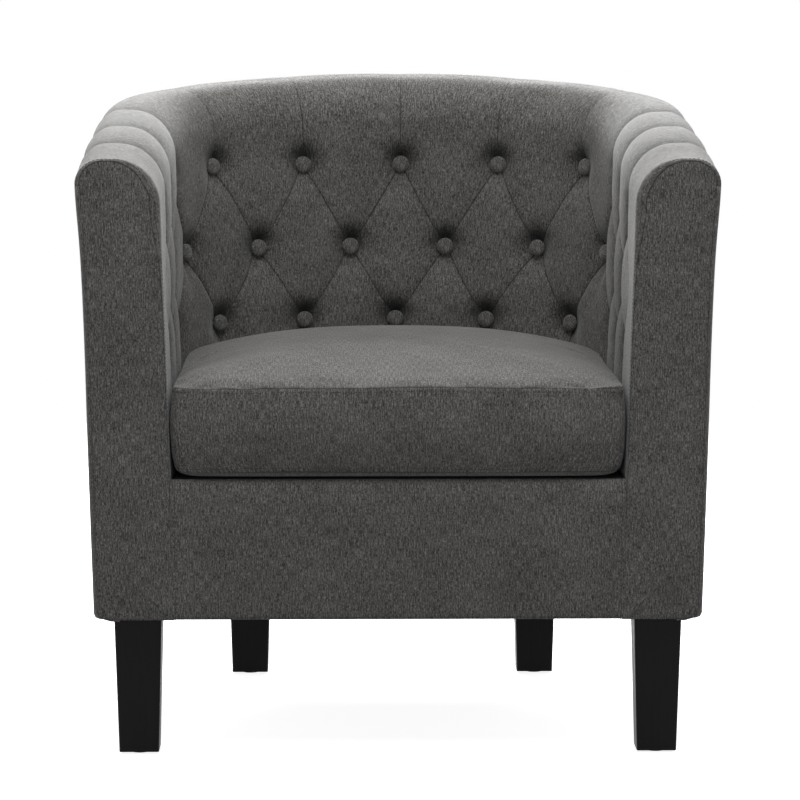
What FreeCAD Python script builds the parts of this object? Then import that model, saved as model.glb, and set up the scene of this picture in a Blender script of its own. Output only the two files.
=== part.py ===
"""Tufted club chair: a U-shaped wall of plywood, foam and cloth on four tapered legs, with a loose cushion.

Millimetres, +Z up, front towards -Y. The origin lies on the floor, under the middle of the overall box.
Walls are described by an inset, measured inwards from the outside cloth, and a height above the floor.
"""
import FreeCAD
import Part
import Sketcher
import math
import os

# Driving dimensions
DIMENSIONS = [
    # Whole chair
    ("overall_width", 720),
    ("overall_depth", 690),
    ("overall_height", 760),
    ("arm_height", 675),
    ("wall_thickness", 92),
    ("back_radius", 520),
    ("corner_radius", 260),
    ("side_flare", 17),
    ("back_lean", 57),
    # Legs and what fastens them
    ("leg_height", 158),
    ("leg_top", 54),
    ("leg_foot", 45),
    ("leg_edge", 3),
    ("front_leg_from_side", 66),
    ("front_leg_from_front", 46),
    ("rear_leg_from_side", 179),
    ("rear_leg_from_back", 147),
    ("glide_radius", 11),
    ("glide_thickness", 3),
    ("bolt_radius", 4),
    ("bolt_clearance", 0.15),
    ("bolt_in_leg", 45),
    ("bolt_end_gap", 1),
    ("block_size", 46),
    ("block_height", 30),
    ("tee_flange_radius", 10),
    ("tee_flange_thickness", 1.6),
    ("tee_barrel_radius", 5.2),
    ("tee_barrel_length", 11),
    # Layers of the wall, from the outside in
    ("layer_gap", 0.3),
    ("cover_thickness", 2),
    ("liner_thickness", 3),
    ("frame_depth", 40),
    ("foam_thickness", 20),
    # Frame
    ("board_thickness", 18),
    ("rail_thickness", 20),
    ("base_rail_width", 90),
    ("post_width", 40),
    ("post_depth", 33),
    ("post_clearance", 1.4),
    ("inner_post_angle", 12),
    ("corner_post_angle", 48),
    ("side_post_setback", 215),
    ("seat_rail_height", 290),
    ("seat_depth", 440),
    ("liner_bottom", 235),
    ("dust_cover_thickness", 1),
    ("hem_drop", 1),
    # Front padding
    ("panel_thickness", 12),
    ("panel_edge", 7),
    # Rolled top edge
    ("outer_roll", 30),
    ("inner_roll", 50),
    ("roll_thickness", 10),
    ("roll_foam_thickness", 17.7),
    ("roll_foam_inset", 20),
    ("roll_foam_reach", 52),
    ("roll_lip", 8),
    # Tufting
    ("top_row", 645),
    ("row_spacing", 98),
    ("top_row_pitch", 126),
    ("bottom_row_pitch", 115),
    ("tuft_depth", 15),
    ("crease_depth", 7),
    ("pocket_radius", 13),
    ("crease_width", 5),
    ("pleat_depth", 5),
    ("row_below_crest", 80),
    ("pad_bottom", 296),
    ("pad_foot_taper", 4),
    ("button_radius", 10.5),
    ("button_rim", 3),
    ("button_dome", 4.5),
    ("button_shank_radius", 4),
    ("button_shank_length", 4),
    ("button_gap", 0.6),
    ("twine_radius", 1.2),
    ("toggle_radius", 8),
    ("toggle_thickness", 3),
    # Sprung seat
    ("wire_radius", 1.8),
    ("spring_width", 46),
    ("spring_spacing", 94),
    ("clip_thickness", 1.2),
    ("clip_width", 24),
    ("clip_length", 16),
    ("felt_thickness", 20),
    ("deck_cover_thickness", 2),
    ("deck_gap", 3),
    # Loose seat cushion
    ("cushion_gap", 3),
    ("cushion_setback", 3),
    ("cushion_height", 100),
    ("cushion_crown", 36),
    ("cushion_corner", 16),
    ("cushion_tuck", 4),
    ("cushion_cloth", 2),
]
# Counts
SPRINGS = 5
SPRING_LOOPS = 7
WIRE_SIDES = 6
COLUMNS_EACH_SIDE = 5
ROWS = 3
# Where the tufted cover's sections stand between two columns, as shares of the pitch
STATION_SHARES = (0, 0.25, 0.5, 0.75)
# Past the last column: share of the way to the arm's front, place in the pattern, and how far tufts have faded.
# The two past the front keep the cloth plain there, and are trimmed off.
FRONT_STATIONS = ((0.25, 0.25, 0.2), (0.5, 0.5, 0.6), (0.75, 0.5, 0.9), (1, 0.5, 1),
                  (1.25, 0.5, 1), (1.5, 0.5, 1))
# Shares of the full tuft depth: at the folds beside a middle button, and half way along a diamond's side
MIDDLE_FOLD_SHARE = 0.9
SIDE_BOW_SHARE = 0.07
# How far up the plain band above the top buttons swells most, and how many times a crest point is settled
BAND_SWELL_SHARE = 0.6
SETTLE_STEPS = 12
# A bow flatter than this is drawn straight
STRAIGHT = 0.05

doc = FreeCAD.newDocument("club_chair")
sheet = doc.addObject("Spreadsheet::Sheet", "Sizes")
for row, (alias, number) in enumerate(DIMENSIONS, 1):
    sheet.set(f"A{row}", alias)
    sheet.set(f"B{row}", str(number))
    sheet.setAlias(f"B{row}", alias)
doc.recompute()


def size(alias):
    """A driving dimension as a number."""
    return float(getattr(sheet, alias))


def cell(alias):
    """A driving dimension as it is written in an expression."""
    return f"Sizes.{alias}"


class Length:
    """A number together with the expression that ties it to the sheet."""

    def __init__(self, number, text=None):
        self.number = float(number)
        self.text = text if text is not None else repr(float(number))

    def __add__(self, other):
        other = as_length(other)
        return Length(self.number + other.number, f"({self.text} + {other.text})")

    def __sub__(self, other):
        other = as_length(other)
        return Length(self.number - other.number, f"({self.text} - {other.text})")

    def __mul__(self, other):
        other = as_length(other)
        return Length(self.number * other.number, f"({self.text} * {other.text})")

    def __truediv__(self, other):
        other = as_length(other)
        return Length(self.number / other.number, f"({self.text} / {other.text})")

    def __neg__(self):
        return Length(-self.number, f"(0 - {self.text})")

    __radd__ = __add__
    __rmul__ = __mul__

    def __rsub__(self, other):
        return as_length(other) - self


def as_length(value):
    return value if isinstance(value, Length) else Length(value)


def dim(alias):
    return Length(size(alias), cell(alias))


def root(value):
    return Length(math.sqrt(value.number), f"sqrt({value.text})")


def sine(degrees):
    return Length(math.sin(math.radians(degrees.number)), f"sin({degrees.text} * 1 deg)")


def cosine(degrees):
    return Length(math.cos(math.radians(degrees.number)), f"cos({degrees.text} * 1 deg)")


# Levels and insets that several pieces share
GAP = dim("layer_gap")
FRONT = -(dim("overall_depth") / 2)
SHOULDER = dim("overall_height") - dim("outer_roll")
BODY_HEIGHT = SHOULDER - dim("leg_height")
FLARE_RATE = dim("side_flare") / BODY_HEIGHT
SHEAR_RATE = (dim("back_lean") - dim("side_flare")) / BODY_HEIGHT
CREST_RATE = (dim("overall_height") - dim("arm_height")) / (dim("overall_depth") - dim("outer_roll"))

LINER_OUT = dim("cover_thickness") + GAP
FRAME_OUT = LINER_OUT + dim("liner_thickness") + GAP
FRAME_IN = FRAME_OUT + dim("frame_depth")
LINER_IN = FRAME_IN + GAP
FOAM_OUT = LINER_IN + dim("liner_thickness") + GAP
TUFT_OUT = FOAM_OUT + dim("foam_thickness") + GAP
CROWN = dim("wall_thickness")

PANEL_BACK = FRONT + dim("panel_thickness") + GAP
POST_BACK = PANEL_BACK + dim("rail_thickness")
RAIL_FRONT = POST_BACK + GAP

DUST_BOTTOM = dim("leg_height") + dim("hem_drop")
BASE_BOTTOM = DUST_BOTTOM + dim("dust_cover_thickness")
BASE_TOP = BASE_BOTTOM + dim("board_thickness")
ROLL_FOAM_TOP = -(dim("roll_thickness") + GAP)
ROLL_FOAM_BOTTOM = ROLL_FOAM_TOP - dim("roll_foam_thickness")
TOP_RAIL_TOP = ROLL_FOAM_BOTTOM - GAP
TOP_RAIL_BOTTOM = TOP_RAIL_TOP - dim("board_thickness")

WIRE_HEIGHT = dim("seat_rail_height") + dim("clip_thickness") + dim("wire_radius")
FELT_BOTTOM = WIRE_HEIGHT + dim("wire_radius") + GAP
DECK_BOTTOM = FELT_BOTTOM + dim("felt_thickness") + GAP
DECK_TOP = DECK_BOTTOM + dim("deck_cover_thickness")
CUSHION_BOTTOM = DECK_TOP + GAP


class Plan:
    """The U of a wall seen from above, at one inset and height: straight arms, corner arcs and a flatter back."""

    def __init__(self, inset, height):
        drop = SHOULDER - height
        shrink = as_length(inset) + drop * FLARE_RATE
        corner_x = dim("overall_width") / 2 - dim("corner_radius")
        reach = dim("back_radius") - dim("corner_radius")
        self.half = dim("overall_width") / 2 - shrink
        self.back = dim("back_radius") - shrink
        self.corner = dim("corner_radius") - shrink
        self.back_y = dim("overall_depth") / 2 - dim("back_radius") - drop * SHEAR_RATE
        self.corner_x = corner_x
        self.corner_y = self.back_y + root(reach * reach - corner_x * corner_x)

    def joint_angle(self):
        """Angle, seen from above, at which a corner arc runs into the back arc."""
        return math.atan2(self.corner_y.number - self.back_y.number, self.corner_x.number)


# Small helpers for bodies, sketches and features
def new_body(label):
    body = doc.addObject("PartDesign::Body", label)
    body.Label = label
    return body


def plane(body, role):
    return next(f for f in body.Origin.OriginFeatures if f.Role == role)


def new_sketch(body, name, role="XY_Plane", offset=None):
    sketch = body.newObject("Sketcher::SketchObject", name)
    sketch.AttachmentSupport = [(plane(body, role), "")]
    sketch.MapMode = "FlatFace"
    if offset is not None:
        sketch.AttachmentOffset = FreeCAD.Placement(FreeCAD.Vector(0, 0, offset.number), FreeCAD.Rotation())
        sketch.setExpression("AttachmentOffset.Base.z", offset.text)
    return sketch


def hold(sketch, kind, *args):
    """Adds a constraint whose last argument is a Length, and ties it to the sheet."""
    length = args[-1]
    index = sketch.addConstraint(Sketcher.Constraint(kind, *args[:-1], length.number))
    sketch.setExpression(f"Constraints[{index}]", length.text)


def pin(sketch, geometry, point, x, y):
    """Fixes a point of a sketch at x and y from the sketch's origin."""
    hold(sketch, "DistanceX", -1, 1, geometry, point, x)
    hold(sketch, "DistanceY", -1, 1, geometry, point, y)


def line(sketch, start, end):
    return sketch.addGeometry(Part.LineSegment(vector(*start), vector(*end)), False)


def vector(x, y, z=0):
    return FreeCAD.Vector(*(v.number if isinstance(v, Length) else v for v in (x, y, z)))


def arc(sketch, x, y, radius, start, end):
    circle = Part.Circle(vector(x, y), FreeCAD.Vector(0, 0, 1), radius.number)
    return sketch.addGeometry(Part.ArcOfCircle(circle, start, end), False)


def tangent(sketch, first, second):
    sketch.addConstraint(Sketcher.Constraint("Tangent", first, 2, second, 1))


def meet(sketch, first, second, first_point=2, second_point=1):
    sketch.addConstraint(Sketcher.Constraint("Coincident", first, first_point, second, second_point))


def polygon(sketch, points):
    """A closed outline of straight lines through points that are pairs of Lengths."""
    sides = [line(sketch, a, b) for a, b in zip(points, points[1:] + points[:1])]
    for first, second in zip(sides, sides[1:] + sides[:1]):
        meet(sketch, first, second)
    for side, (x, y) in zip(sides, points):
        pin(sketch, side, 1, as_length(x), as_length(y))
    return sides


def u_line(sketch, plan, front):
    """Draws an open U from the right arm's front, round the back, to the left arm's front."""
    joint = plan.joint_angle()
    right = line(sketch, (plan.half, front), (plan.half, plan.corner_y))
    corner = arc(sketch, plan.corner_x, plan.corner_y, plan.corner, 0, joint)
    back = arc(sketch, 0, plan.back_y, plan.back, joint, math.pi - joint)
    far_corner = arc(sketch, -plan.corner_x, plan.corner_y, plan.corner, math.pi - joint, math.pi)
    left = line(sketch, (-plan.half, plan.corner_y), (-plan.half, front))
    chain = [right, corner, back, far_corner, left]
    for first, second in zip(chain, chain[1:]):
        tangent(sketch, first, second)
    for side in (right, left):
        sketch.addConstraint(Sketcher.Constraint("Vertical", side))
    sketch.addConstraint(Sketcher.Constraint("Equal", corner, far_corner))
    hold(sketch, "Radius", corner, plan.corner)
    hold(sketch, "Radius", back, plan.back)
    pin(sketch, back, 3, Length(0), plan.back_y)
    pin(sketch, right, 1, plan.half, front)
    pin(sketch, left, 2, -plan.half, front)
    return right, left


def u_ring(body, name, outer, inner, front, height):
    """A sketch of the wall between two insets, open at the front."""
    sketch = new_sketch(body, name, offset=height)
    outer_right, outer_left = u_line(sketch, Plan(outer, height), front)
    inner_right, inner_left = u_line(sketch, Plan(inner, height), front)
    right_end = line(sketch, (Plan(inner, height).half, front), (Plan(outer, height).half, front))
    left_end = line(sketch, (-Plan(outer, height).half, front), (-Plan(inner, height).half, front))
    meet(sketch, right_end, inner_right, 1, 1)
    meet(sketch, right_end, outer_right, 2, 1)
    meet(sketch, left_end, outer_left, 1, 2)
    meet(sketch, left_end, inner_left, 2, 2)
    return sketch


def d_sheet(body, name, plan, front, height):
    """A sketch of a whole D: the U closed across the front."""
    sketch = new_sketch(body, name, offset=height)
    right, left = u_line(sketch, plan, front)
    across = line(sketch, (-plan.half, front), (plan.half, front))
    meet(sketch, across, left, 1, 2)
    meet(sketch, across, right, 2, 1)
    return sketch


def pad(body, sketch, length):
    feature = body.newObject("PartDesign::Pad", f"{body.Label}_pad")
    feature.Profile = sketch
    feature.Length = length.number
    feature.setExpression("Length", length.text)
    return feature


def loft(body, sketches, ruled=True, kind="Additive"):
    feature = body.newObject(f"PartDesign::{kind}Loft", f"{body.Label}_loft")
    feature.Profile = sketches[0]
    feature.Sections = sketches[1:]
    feature.Ruled = ruled
    return feature


def trim(body, drop, above=True):
    """Cuts away what lies above, or below, the plane that runs a given drop from the sloping top edge."""
    reach = dim("overall_depth")
    sketch = new_sketch(body, f"{body.Label}_slope", "YZ_Plane")
    front_z = dim("arm_height") + CREST_RATE * (-reach - FRONT) + drop
    back_z = dim("arm_height") + CREST_RATE * (reach - FRONT) + drop
    far_z = dim("overall_height") * 3 if above else -dim("overall_height")
    polygon(sketch, [(-reach, front_z), (reach, back_z), (reach, far_z), (-reach, far_z)])
    cut = body.newObject("PartDesign::Pocket", f"{body.Label}_trim")
    cut.Profile = sketch
    cut.SideType = "Symmetric"
    cut.Type = "ThroughAll"
    return cut


def u_wall(label, outer, inner, front, bottom, top=None, top_drop=None, bottom_drop=None):
    """A wall between two insets, leaning with the chair, cut level or along the sloping top edge."""
    body = new_body(label)
    low = bottom
    high = top if top is not None else dim("overall_height") * 1.1
    sketches = [u_ring(body, f"{label}_{i}", outer, inner, front, z) for i, z in enumerate((low, high))]
    loft(body, sketches)
    if top_drop is not None:
        trim(body, top_drop)
    if bottom_drop is not None:
        trim(body, bottom_drop, above=False)
    return body


def d_plate(label, inset, front, bottom, thickness):
    """A flat plate that fills the U, at one inset, from a bottom height up."""
    body = new_body(label)
    pad(body, d_sheet(body, f"{label}_outline", Plan(inset, bottom), front, bottom), thickness)
    return body


def box_body(label, x_low, x_high, y_low, y_high, z_low, z_high):
    body = new_body(label)
    sketch = new_sketch(body, f"{label}_outline", offset=z_low)
    polygon(sketch, [(x_low, y_low), (x_high, y_low), (x_high, y_high), (x_low, y_high)])
    pad(body, sketch, z_high - z_low)
    return body


def drill(body, places, radius, top, depth):
    """Round holes going down from a height, at places given as pairs of Lengths."""
    sketch = new_sketch(body, f"{body.Label}_holes", offset=top)
    for x, y in places:
        circle = sketch.addGeometry(Part.Circle(vector(x, y), FreeCAD.Vector(0, 0, 1), radius.number), False)
        hold(sketch, "Radius", circle, radius)
        pin(sketch, circle, 3, x, y)
    pocket = body.newObject("PartDesign::Pocket", f"{body.Label}_bore")
    pocket.Profile = sketch
    pocket.Length = depth.number
    pocket.setExpression("Length", depth.text)
    return pocket


def edges_where(shape, test):
    """Names of the edges whose middle passes a test."""
    found = []
    for number, edge in enumerate(shape.Edges, 1):
        if test(edge.valueAt((edge.FirstParameter + edge.LastParameter) / 2)):
            found.append(f"Edge{number}")
    return found


def fillet(body, base, test, radius):
    doc.recompute()
    feature = body.newObject("PartDesign::Fillet", f"{body.Label}_fillet")
    feature.Base = (base, edges_where(base.Shape, test))
    feature.Radius = radius.number
    feature.setExpression("Radius", radius.text)
    return feature


# Places of the legs
front_leg_x = dim("overall_width") / 2 - dim("front_leg_from_side")
front_leg_y = FRONT + dim("front_leg_from_front")
rear_leg_x = dim("overall_width") / 2 - dim("rear_leg_from_side")
rear_leg_y = dim("overall_depth") / 2 - dim("rear_leg_from_back")
LEG_PLACES = {
    "front_left_leg": (-front_leg_x, front_leg_y),
    "front_right_leg": (front_leg_x, front_leg_y),
    "rear_left_leg": (-rear_leg_x, rear_leg_y),
    "rear_right_leg": (rear_leg_x, rear_leg_y),
}
BOLT_HOLE = dim("bolt_radius") + dim("bolt_clearance")
BLOCK_TOP = BASE_TOP + dim("block_height")
CLOSE = 1e-3


def soft_square(body, name, place, side, radius, height):
    """A sketch of a square with rounded corners."""
    x, y = place
    half = side / 2
    flat = half - radius
    sketch = new_sketch(body, name, offset=height)
    chain = []
    for quarter in range(4):
        turn = quarter * math.pi / 2
        ux, uy = round(math.cos(turn)), round(math.sin(turn))
        start = (x + half * ux + flat * uy, y + half * uy - flat * ux)
        end = (x + half * ux - flat * uy, y + half * uy + flat * ux)
        edge = line(sketch, start, end)
        pin(sketch, edge, 1, *start)
        pin(sketch, edge, 2, *end)
        centre = (x + flat * ux - flat * uy, y + flat * uy + flat * ux)
        corner = arc(sketch, *centre, radius, turn, turn + math.pi / 2)
        chain += [edge, corner]
    for first, second in zip(chain, chain[1:] + chain[:1]):
        meet(sketch, first, second)
    for corner in chain[1::2]:
        hold(sketch, "Radius", corner, radius)
    return sketch


def make_leg(label, place):
    """A square leg that tapers to its foot, bored at the top for its bolt."""
    top = DUST_BOTTOM
    body = new_body(label)
    foot = soft_square(body, f"{label}_foot", place, dim("leg_foot"), dim("leg_edge"), dim("glide_thickness"))
    head = soft_square(body, f"{label}_head", place, dim("leg_top"), dim("leg_edge"), top)
    loft(body, [foot, head])
    drill(body, [place], BOLT_HOLE, top, dim("bolt_in_leg"))


def make_disc_group(label, places, pieces):
    """One node of like round pieces, each given as a radius, a bottom and a top."""
    parts = []
    for number, (x, y) in enumerate(places, 1):
        for radius, low, high in pieces:
            values = {"Radius": radius, "Height": high - low}
            parts.append(made_with("Part::Cylinder", f"{label}_{number}", values, (x, y, low)))
    group = doc.addObject("Part::Compound", label)
    group.Label = label
    group.Links = parts


def made_with(kind, name, values, place=None):
    """A plain solid whose sizes, and place if given, follow the sheet."""
    solid = doc.addObject(kind, name)
    for prop, value in values.items():
        setattr(solid, prop, value.number)
        solid.setExpression(prop, value.text)
    if place is not None:
        solid.Placement = FreeCAD.Placement(vector(*place), FreeCAD.Rotation())
        for axis, value in zip("xyz", place):
            solid.setExpression(f"Placement.Base.{axis}", as_length(value).text)
    return solid


def post_corners(angle, side, height):
    """Corners of an upright's section in the curved wall, at an angle from the middle of the back."""
    plan = Plan(FRAME_OUT + dim("post_clearance"), height)
    on_back = angle.number < 90 - math.degrees(plan.joint_angle())
    radius = plan.back if on_back else plan.corner
    centre_x = Length(0) if on_back else plan.corner_x
    centre_y = plan.back_y if on_back else plan.corner_y
    across, along = sine(angle), cosine(angle)
    half = dim("post_width") / 2
    corners = []
    for reach, shift in ((radius, -half), (radius, half), (radius - dim("post_depth"), half),
                         (radius - dim("post_depth"), -half)):
        x = centre_x + reach * across + shift * along
        y = centre_y + reach * along - shift * across
        corners.append((x * side, y))
    return corners


def arm_corners(outer, inner, y_low, y_high, side, height):
    """Corners of an upright's section in a straight arm."""
    out, into = Plan(outer, height).half * side, Plan(inner, height).half * side
    return [(out, y_low), (out, y_high), (into, y_high), (into, y_low)]


def upright(label, bottom, corners_at):
    """A leaning upright that ends under the sloping top rail."""
    body = new_body(label)
    sketches = []
    for number, height in enumerate((bottom, dim("overall_height"))):
        sketch = new_sketch(body, f"{label}_{number}", offset=height)
        polygon(sketch, corners_at(height))
        sketches.append(sketch)
    loft(body, sketches)
    trim(body, TOP_RAIL_BOTTOM)
    return body


# Legs, their fastenings and the blocks they bolt into
for leg, place in LEG_PLACES.items():
    make_leg(leg, place)
places = list(LEG_PLACES.values())
make_disc_group("leg_glides", places, [(dim("glide_radius"), Length(0), dim("glide_thickness"))])
bolt_low = DUST_BOTTOM - dim("bolt_in_leg") + dim("bolt_end_gap")
make_disc_group("hanger_bolts", places, [(dim("bolt_radius"), bolt_low, BLOCK_TOP)])

nuts, blocks = [], []
counterbore = dim("tee_barrel_radius") + dim("bolt_clearance")
for name, (x, y) in LEG_PLACES.items():
    barrel_low = BLOCK_TOP - dim("tee_barrel_length")
    flange_sizes = {"Radius": dim("tee_flange_radius"), "Height": dim("tee_flange_thickness")}
    flange = made_with("Part::Cylinder", f"{name}_flange", flange_sizes, (x, y, BLOCK_TOP))
    barrel_sizes = {"Radius": dim("tee_barrel_radius"), "Height": dim("tee_barrel_length")}
    barrel = made_with("Part::Cylinder", f"{name}_barrel", barrel_sizes, (x, y, barrel_low))
    bore = made_with("Part::Cylinder", f"{name}_thread",
                     {"Radius": BOLT_HOLE, "Height": dim("block_height") * 2}, (x, y, BASE_TOP))
    solid = doc.addObject("Part::MultiFuse", f"{name}_nut_blank")
    solid.Shapes = [flange, barrel]
    nut = doc.addObject("Part::Cut", f"{name}_nut")
    nut.Base, nut.Tool = solid, bore
    nuts.append(nut)
    half = dim("block_size") / 2
    y_low = RAIL_FRONT if name.startswith("front") else y - half
    block_sizes = {"Length": dim("block_size"), "Width": dim("block_size"), "Height": dim("block_height")}
    block = made_with("Part::Box", f"{name}_block_blank", block_sizes, (x - half, y_low, BASE_TOP))
    seat = made_with("Part::Cylinder", f"{name}_seat",
                     {"Radius": counterbore, "Height": dim("tee_barrel_length") + GAP},
                     (x, y, barrel_low - GAP))
    hole = made_with("Part::Cylinder", f"{name}_hole",
                     {"Radius": BOLT_HOLE, "Height": dim("block_height") * 2}, (x, y, BASE_TOP - GAP))
    holes = doc.addObject("Part::MultiFuse", f"{name}_holes")
    holes.Shapes = [seat, hole]
    drilled = doc.addObject("Part::Cut", f"{name}_block")
    drilled.Base, drilled.Tool = block, holes
    blocks.append(drilled)
for label, members in (("tee_nuts", nuts), ("leg_blocks", blocks)):
    group = doc.addObject("Part::Compound", label)
    group.Label = label
    group.Links = members

# Frame: base, seat box, uprights and top rail
base_rail = u_wall("base_rail", FRAME_OUT, dim("base_rail_width"), RAIL_FRONT, BASE_BOTTOM, top=BASE_TOP)
drill(base_rail, places, BOLT_HOLE, BASE_TOP, dim("board_thickness"))
rail_half = Plan(FRAME_IN, BASE_BOTTOM).half - GAP
box_body("front_rail", -rail_half, rail_half, PANEL_BACK, POST_BACK, BASE_BOTTOM, dim("seat_rail_height"))
seat_half = Plan(CROWN, BASE_TOP).half
seat_back = FRONT + dim("seat_depth")
board = dim("board_thickness")
rail_top = dim("seat_rail_height")
box_body("side_rail_right", seat_half, seat_half + board, RAIL_FRONT, seat_back, BASE_TOP, rail_top)
box_body("side_rail_left", -seat_half - board, -seat_half, RAIL_FRONT, seat_back, BASE_TOP, rail_top)
box_body("back_rail", GAP - seat_half, seat_half - GAP, seat_back - board, seat_back, BASE_TOP, rail_top)
u_wall("top_rail", FRAME_OUT, FRAME_IN, PANEL_BACK, dim("arm_height") / 2, top_drop=TOP_RAIL_TOP,
       bottom_drop=TOP_RAIL_BOTTOM)
for name, side in (("left", -1), ("right", 1)):
    upright(f"arm_post_{name}", BASE_BOTTOM,
            lambda z, s=side: arm_corners(FRAME_OUT, FRAME_IN, PANEL_BACK, POST_BACK, s, z))
    low = FRONT + dim("side_post_setback")
    high = low + dim("post_width")
    post_out = FRAME_OUT + dim("post_clearance")
    post_in = post_out + dim("post_depth")
    upright(f"side_post_{name}", BASE_TOP, lambda z, s=side: arm_corners(post_out, post_in, low, high, s, z))
    upright(f"corner_post_{name}", BASE_TOP, lambda z, s=side: post_corners(dim("corner_post_angle"), s, z))
    upright(f"back_post_{name}", BASE_TOP, lambda z, s=side: post_corners(dim("inner_post_angle"), s, z))
upright("back_post_middle", BASE_TOP, lambda z: post_corners(Length(0), 1, z))

# Boards on both faces of the frame, foam, and the outside cloth
liner, foam = dim("liner_thickness"), dim("foam_thickness")
u_wall("outer_liner", LINER_OUT, LINER_OUT + liner, PANEL_BACK, BASE_BOTTOM, top_drop=TOP_RAIL_TOP)
u_wall("inner_liner", LINER_IN, LINER_IN + liner, RAIL_FRONT, dim("liner_bottom"), top_drop=TOP_RAIL_TOP)
u_wall("back_foam", FOAM_OUT, FOAM_OUT + foam, PANEL_BACK, dim("pad_bottom"), top_drop=TOP_RAIL_TOP)
u_wall("top_roll_foam", dim("roll_foam_inset"), dim("roll_foam_reach"), PANEL_BACK, dim("arm_height") / 2,
       top_drop=ROLL_FOAM_TOP, bottom_drop=ROLL_FOAM_BOTTOM)
u_wall("outside_cover", Length(0), dim("cover_thickness"), PANEL_BACK, dim("leg_height"),
       top_drop=-dim("outer_roll") - GAP)
dust_cover = d_plate("dust_cover", FRAME_OUT, PANEL_BACK, DUST_BOTTOM, dim("dust_cover_thickness"))
drill(dust_cover, places, BOLT_HOLE, BASE_BOTTOM, dim("dust_cover_thickness"))

# Padded panels on the arm fronts, and the border under the cushion
panel_inner = Plan(CROWN, DECK_TOP).half


def front_pad(label, points):
    """A padded panel across the front, with a rounded front edge."""
    body = new_body(label)
    sketch = new_sketch(body, f"{label}_outline", "XZ_Plane", -(FRONT + dim("panel_thickness")))
    polygon(sketch, points)
    return body, pad(body, sketch, dim("panel_thickness"))


def at_front(point):
    return point.y < FRONT.number + CLOSE


for name, side in (("left", -1), ("right", 1)):
    top_out, top_in = Plan(Length(0), dim("arm_height")).half, Plan(CROWN, dim("arm_height")).half
    corners = [(Plan(Length(0), dim("leg_height")).half * side, dim("leg_height")),
               (top_out * side, dim("arm_height")), (top_in * side, dim("arm_height")),
               (panel_inner * side, DECK_TOP), (panel_inner * side, dim("leg_height"))]
    body, base = front_pad(f"arm_front_panel_{name}", corners)
    for corner_x, radius in ((top_out, dim("outer_roll")), (top_in, dim("inner_roll"))):
        base = fillet(body, base, lambda p, x=corner_x.number * side: abs(p.x - x) < CLOSE
                      and abs(p.z - size("arm_height")) < CLOSE, radius)
    fillet(body, base, at_front, dim("panel_edge"))
border_half = panel_inner - GAP
body, base = front_pad("front_border", [
    (-border_half, dim("leg_height")), (border_half, dim("leg_height")),
    (border_half, DECK_TOP), (-border_half, DECK_TOP)])
fillet(body, base, at_front, dim("panel_edge"))

# Sprung seat: clips on the rails, felt and cloth over the springs
spring_y_low = (PANEL_BACK + POST_BACK) / 2
spring_y_high = seat_back - board / 2
clips = []
for number in range(SPRINGS):
    centre = (number - (SPRINGS - 1) / 2) * dim("spring_spacing")
    for end, y in (("front", spring_y_low), ("back", spring_y_high)):
        clips.append(made_with(
            "Part::Box", f"clip_{number + 1}_{end}",
            {"Length": dim("clip_width"), "Width": dim("clip_length"), "Height": dim("clip_thickness")},
            (centre - dim("clip_width") / 2, y - dim("clip_length") / 2, dim("seat_rail_height"))))
group = doc.addObject("Part::Compound", "spring_clips")
group.Label = "spring_clips"
group.Links = clips
deck_inset = CROWN + dim("deck_gap")
d_plate("seat_felt", deck_inset, PANEL_BACK, FELT_BOTTOM, dim("felt_thickness"))
d_plate("deck_cover", deck_inset, PANEL_BACK, DECK_BOTTOM, dim("deck_cover_thickness"))


def spring_wire(centre):
    """One sinuous spring: a wire that snakes from the front rail's clip to the back rail's."""
    radius = size("wire_radius")
    y_low, y_high = spring_y_low.number, spring_y_high.number
    turns = 2 * SPRING_LOOPS + 1
    bend = (y_high - y_low) / turns / 2
    lean = bend * math.sqrt(0.5)
    swing = size("spring_width") / 2 - bend
    hook = size("clip_width") / 4

    def at(x, y):
        return FreeCAD.Vector(centre + x, y, WIRE_HEIGHT.number)

    edges = []
    place = at(-hook, y_low)
    for number in range(turns):
        side = -1 if number % 2 else 1
        middle = y_low + (2 * number + 1) * bend
        start, end = at(side * swing, middle - bend), at(side * swing, middle + bend)
        peak = at(side * (swing + bend), middle)
        edges.append(Part.makeLine(place, start))
        edges.append(Part.Arc(start, at(side * (swing + lean), middle - lean), peak).toShape())
        edges.append(Part.Arc(peak, at(side * (swing + lean), middle + lean), end).toShape())
        place = end
    edges.append(Part.makeLine(place, at(hook, y_high)))
    corners = []
    for step in range(WIRE_SIDES + 1):
        angle = 2 * math.pi * step / WIRE_SIDES
        corners.append(at(-hook, y_low) + FreeCAD.Vector(0, radius * math.sin(angle), radius * math.cos(angle)))
    return Part.Wire(edges).makePipeShell([Part.makePolygon(corners)], True, False)


spacing = size("spring_spacing")
springs = doc.addObject("Part::Feature", "sinuous_springs")
springs.Label = "sinuous_springs"
springs.Shape = Part.makeCompound([spring_wire((n - (SPRINGS - 1) / 2) * spacing) for n in range(SPRINGS)])


# Diamond tufting: where a column of buttons stands at a given inset and height
def pitch_at(height):
    fan = (size("top_row_pitch") - size("bottom_row_pitch")) / (size("row_spacing") * (ROWS - 1))
    return size("top_row_pitch") + fan * (height - size("top_row"))


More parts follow.
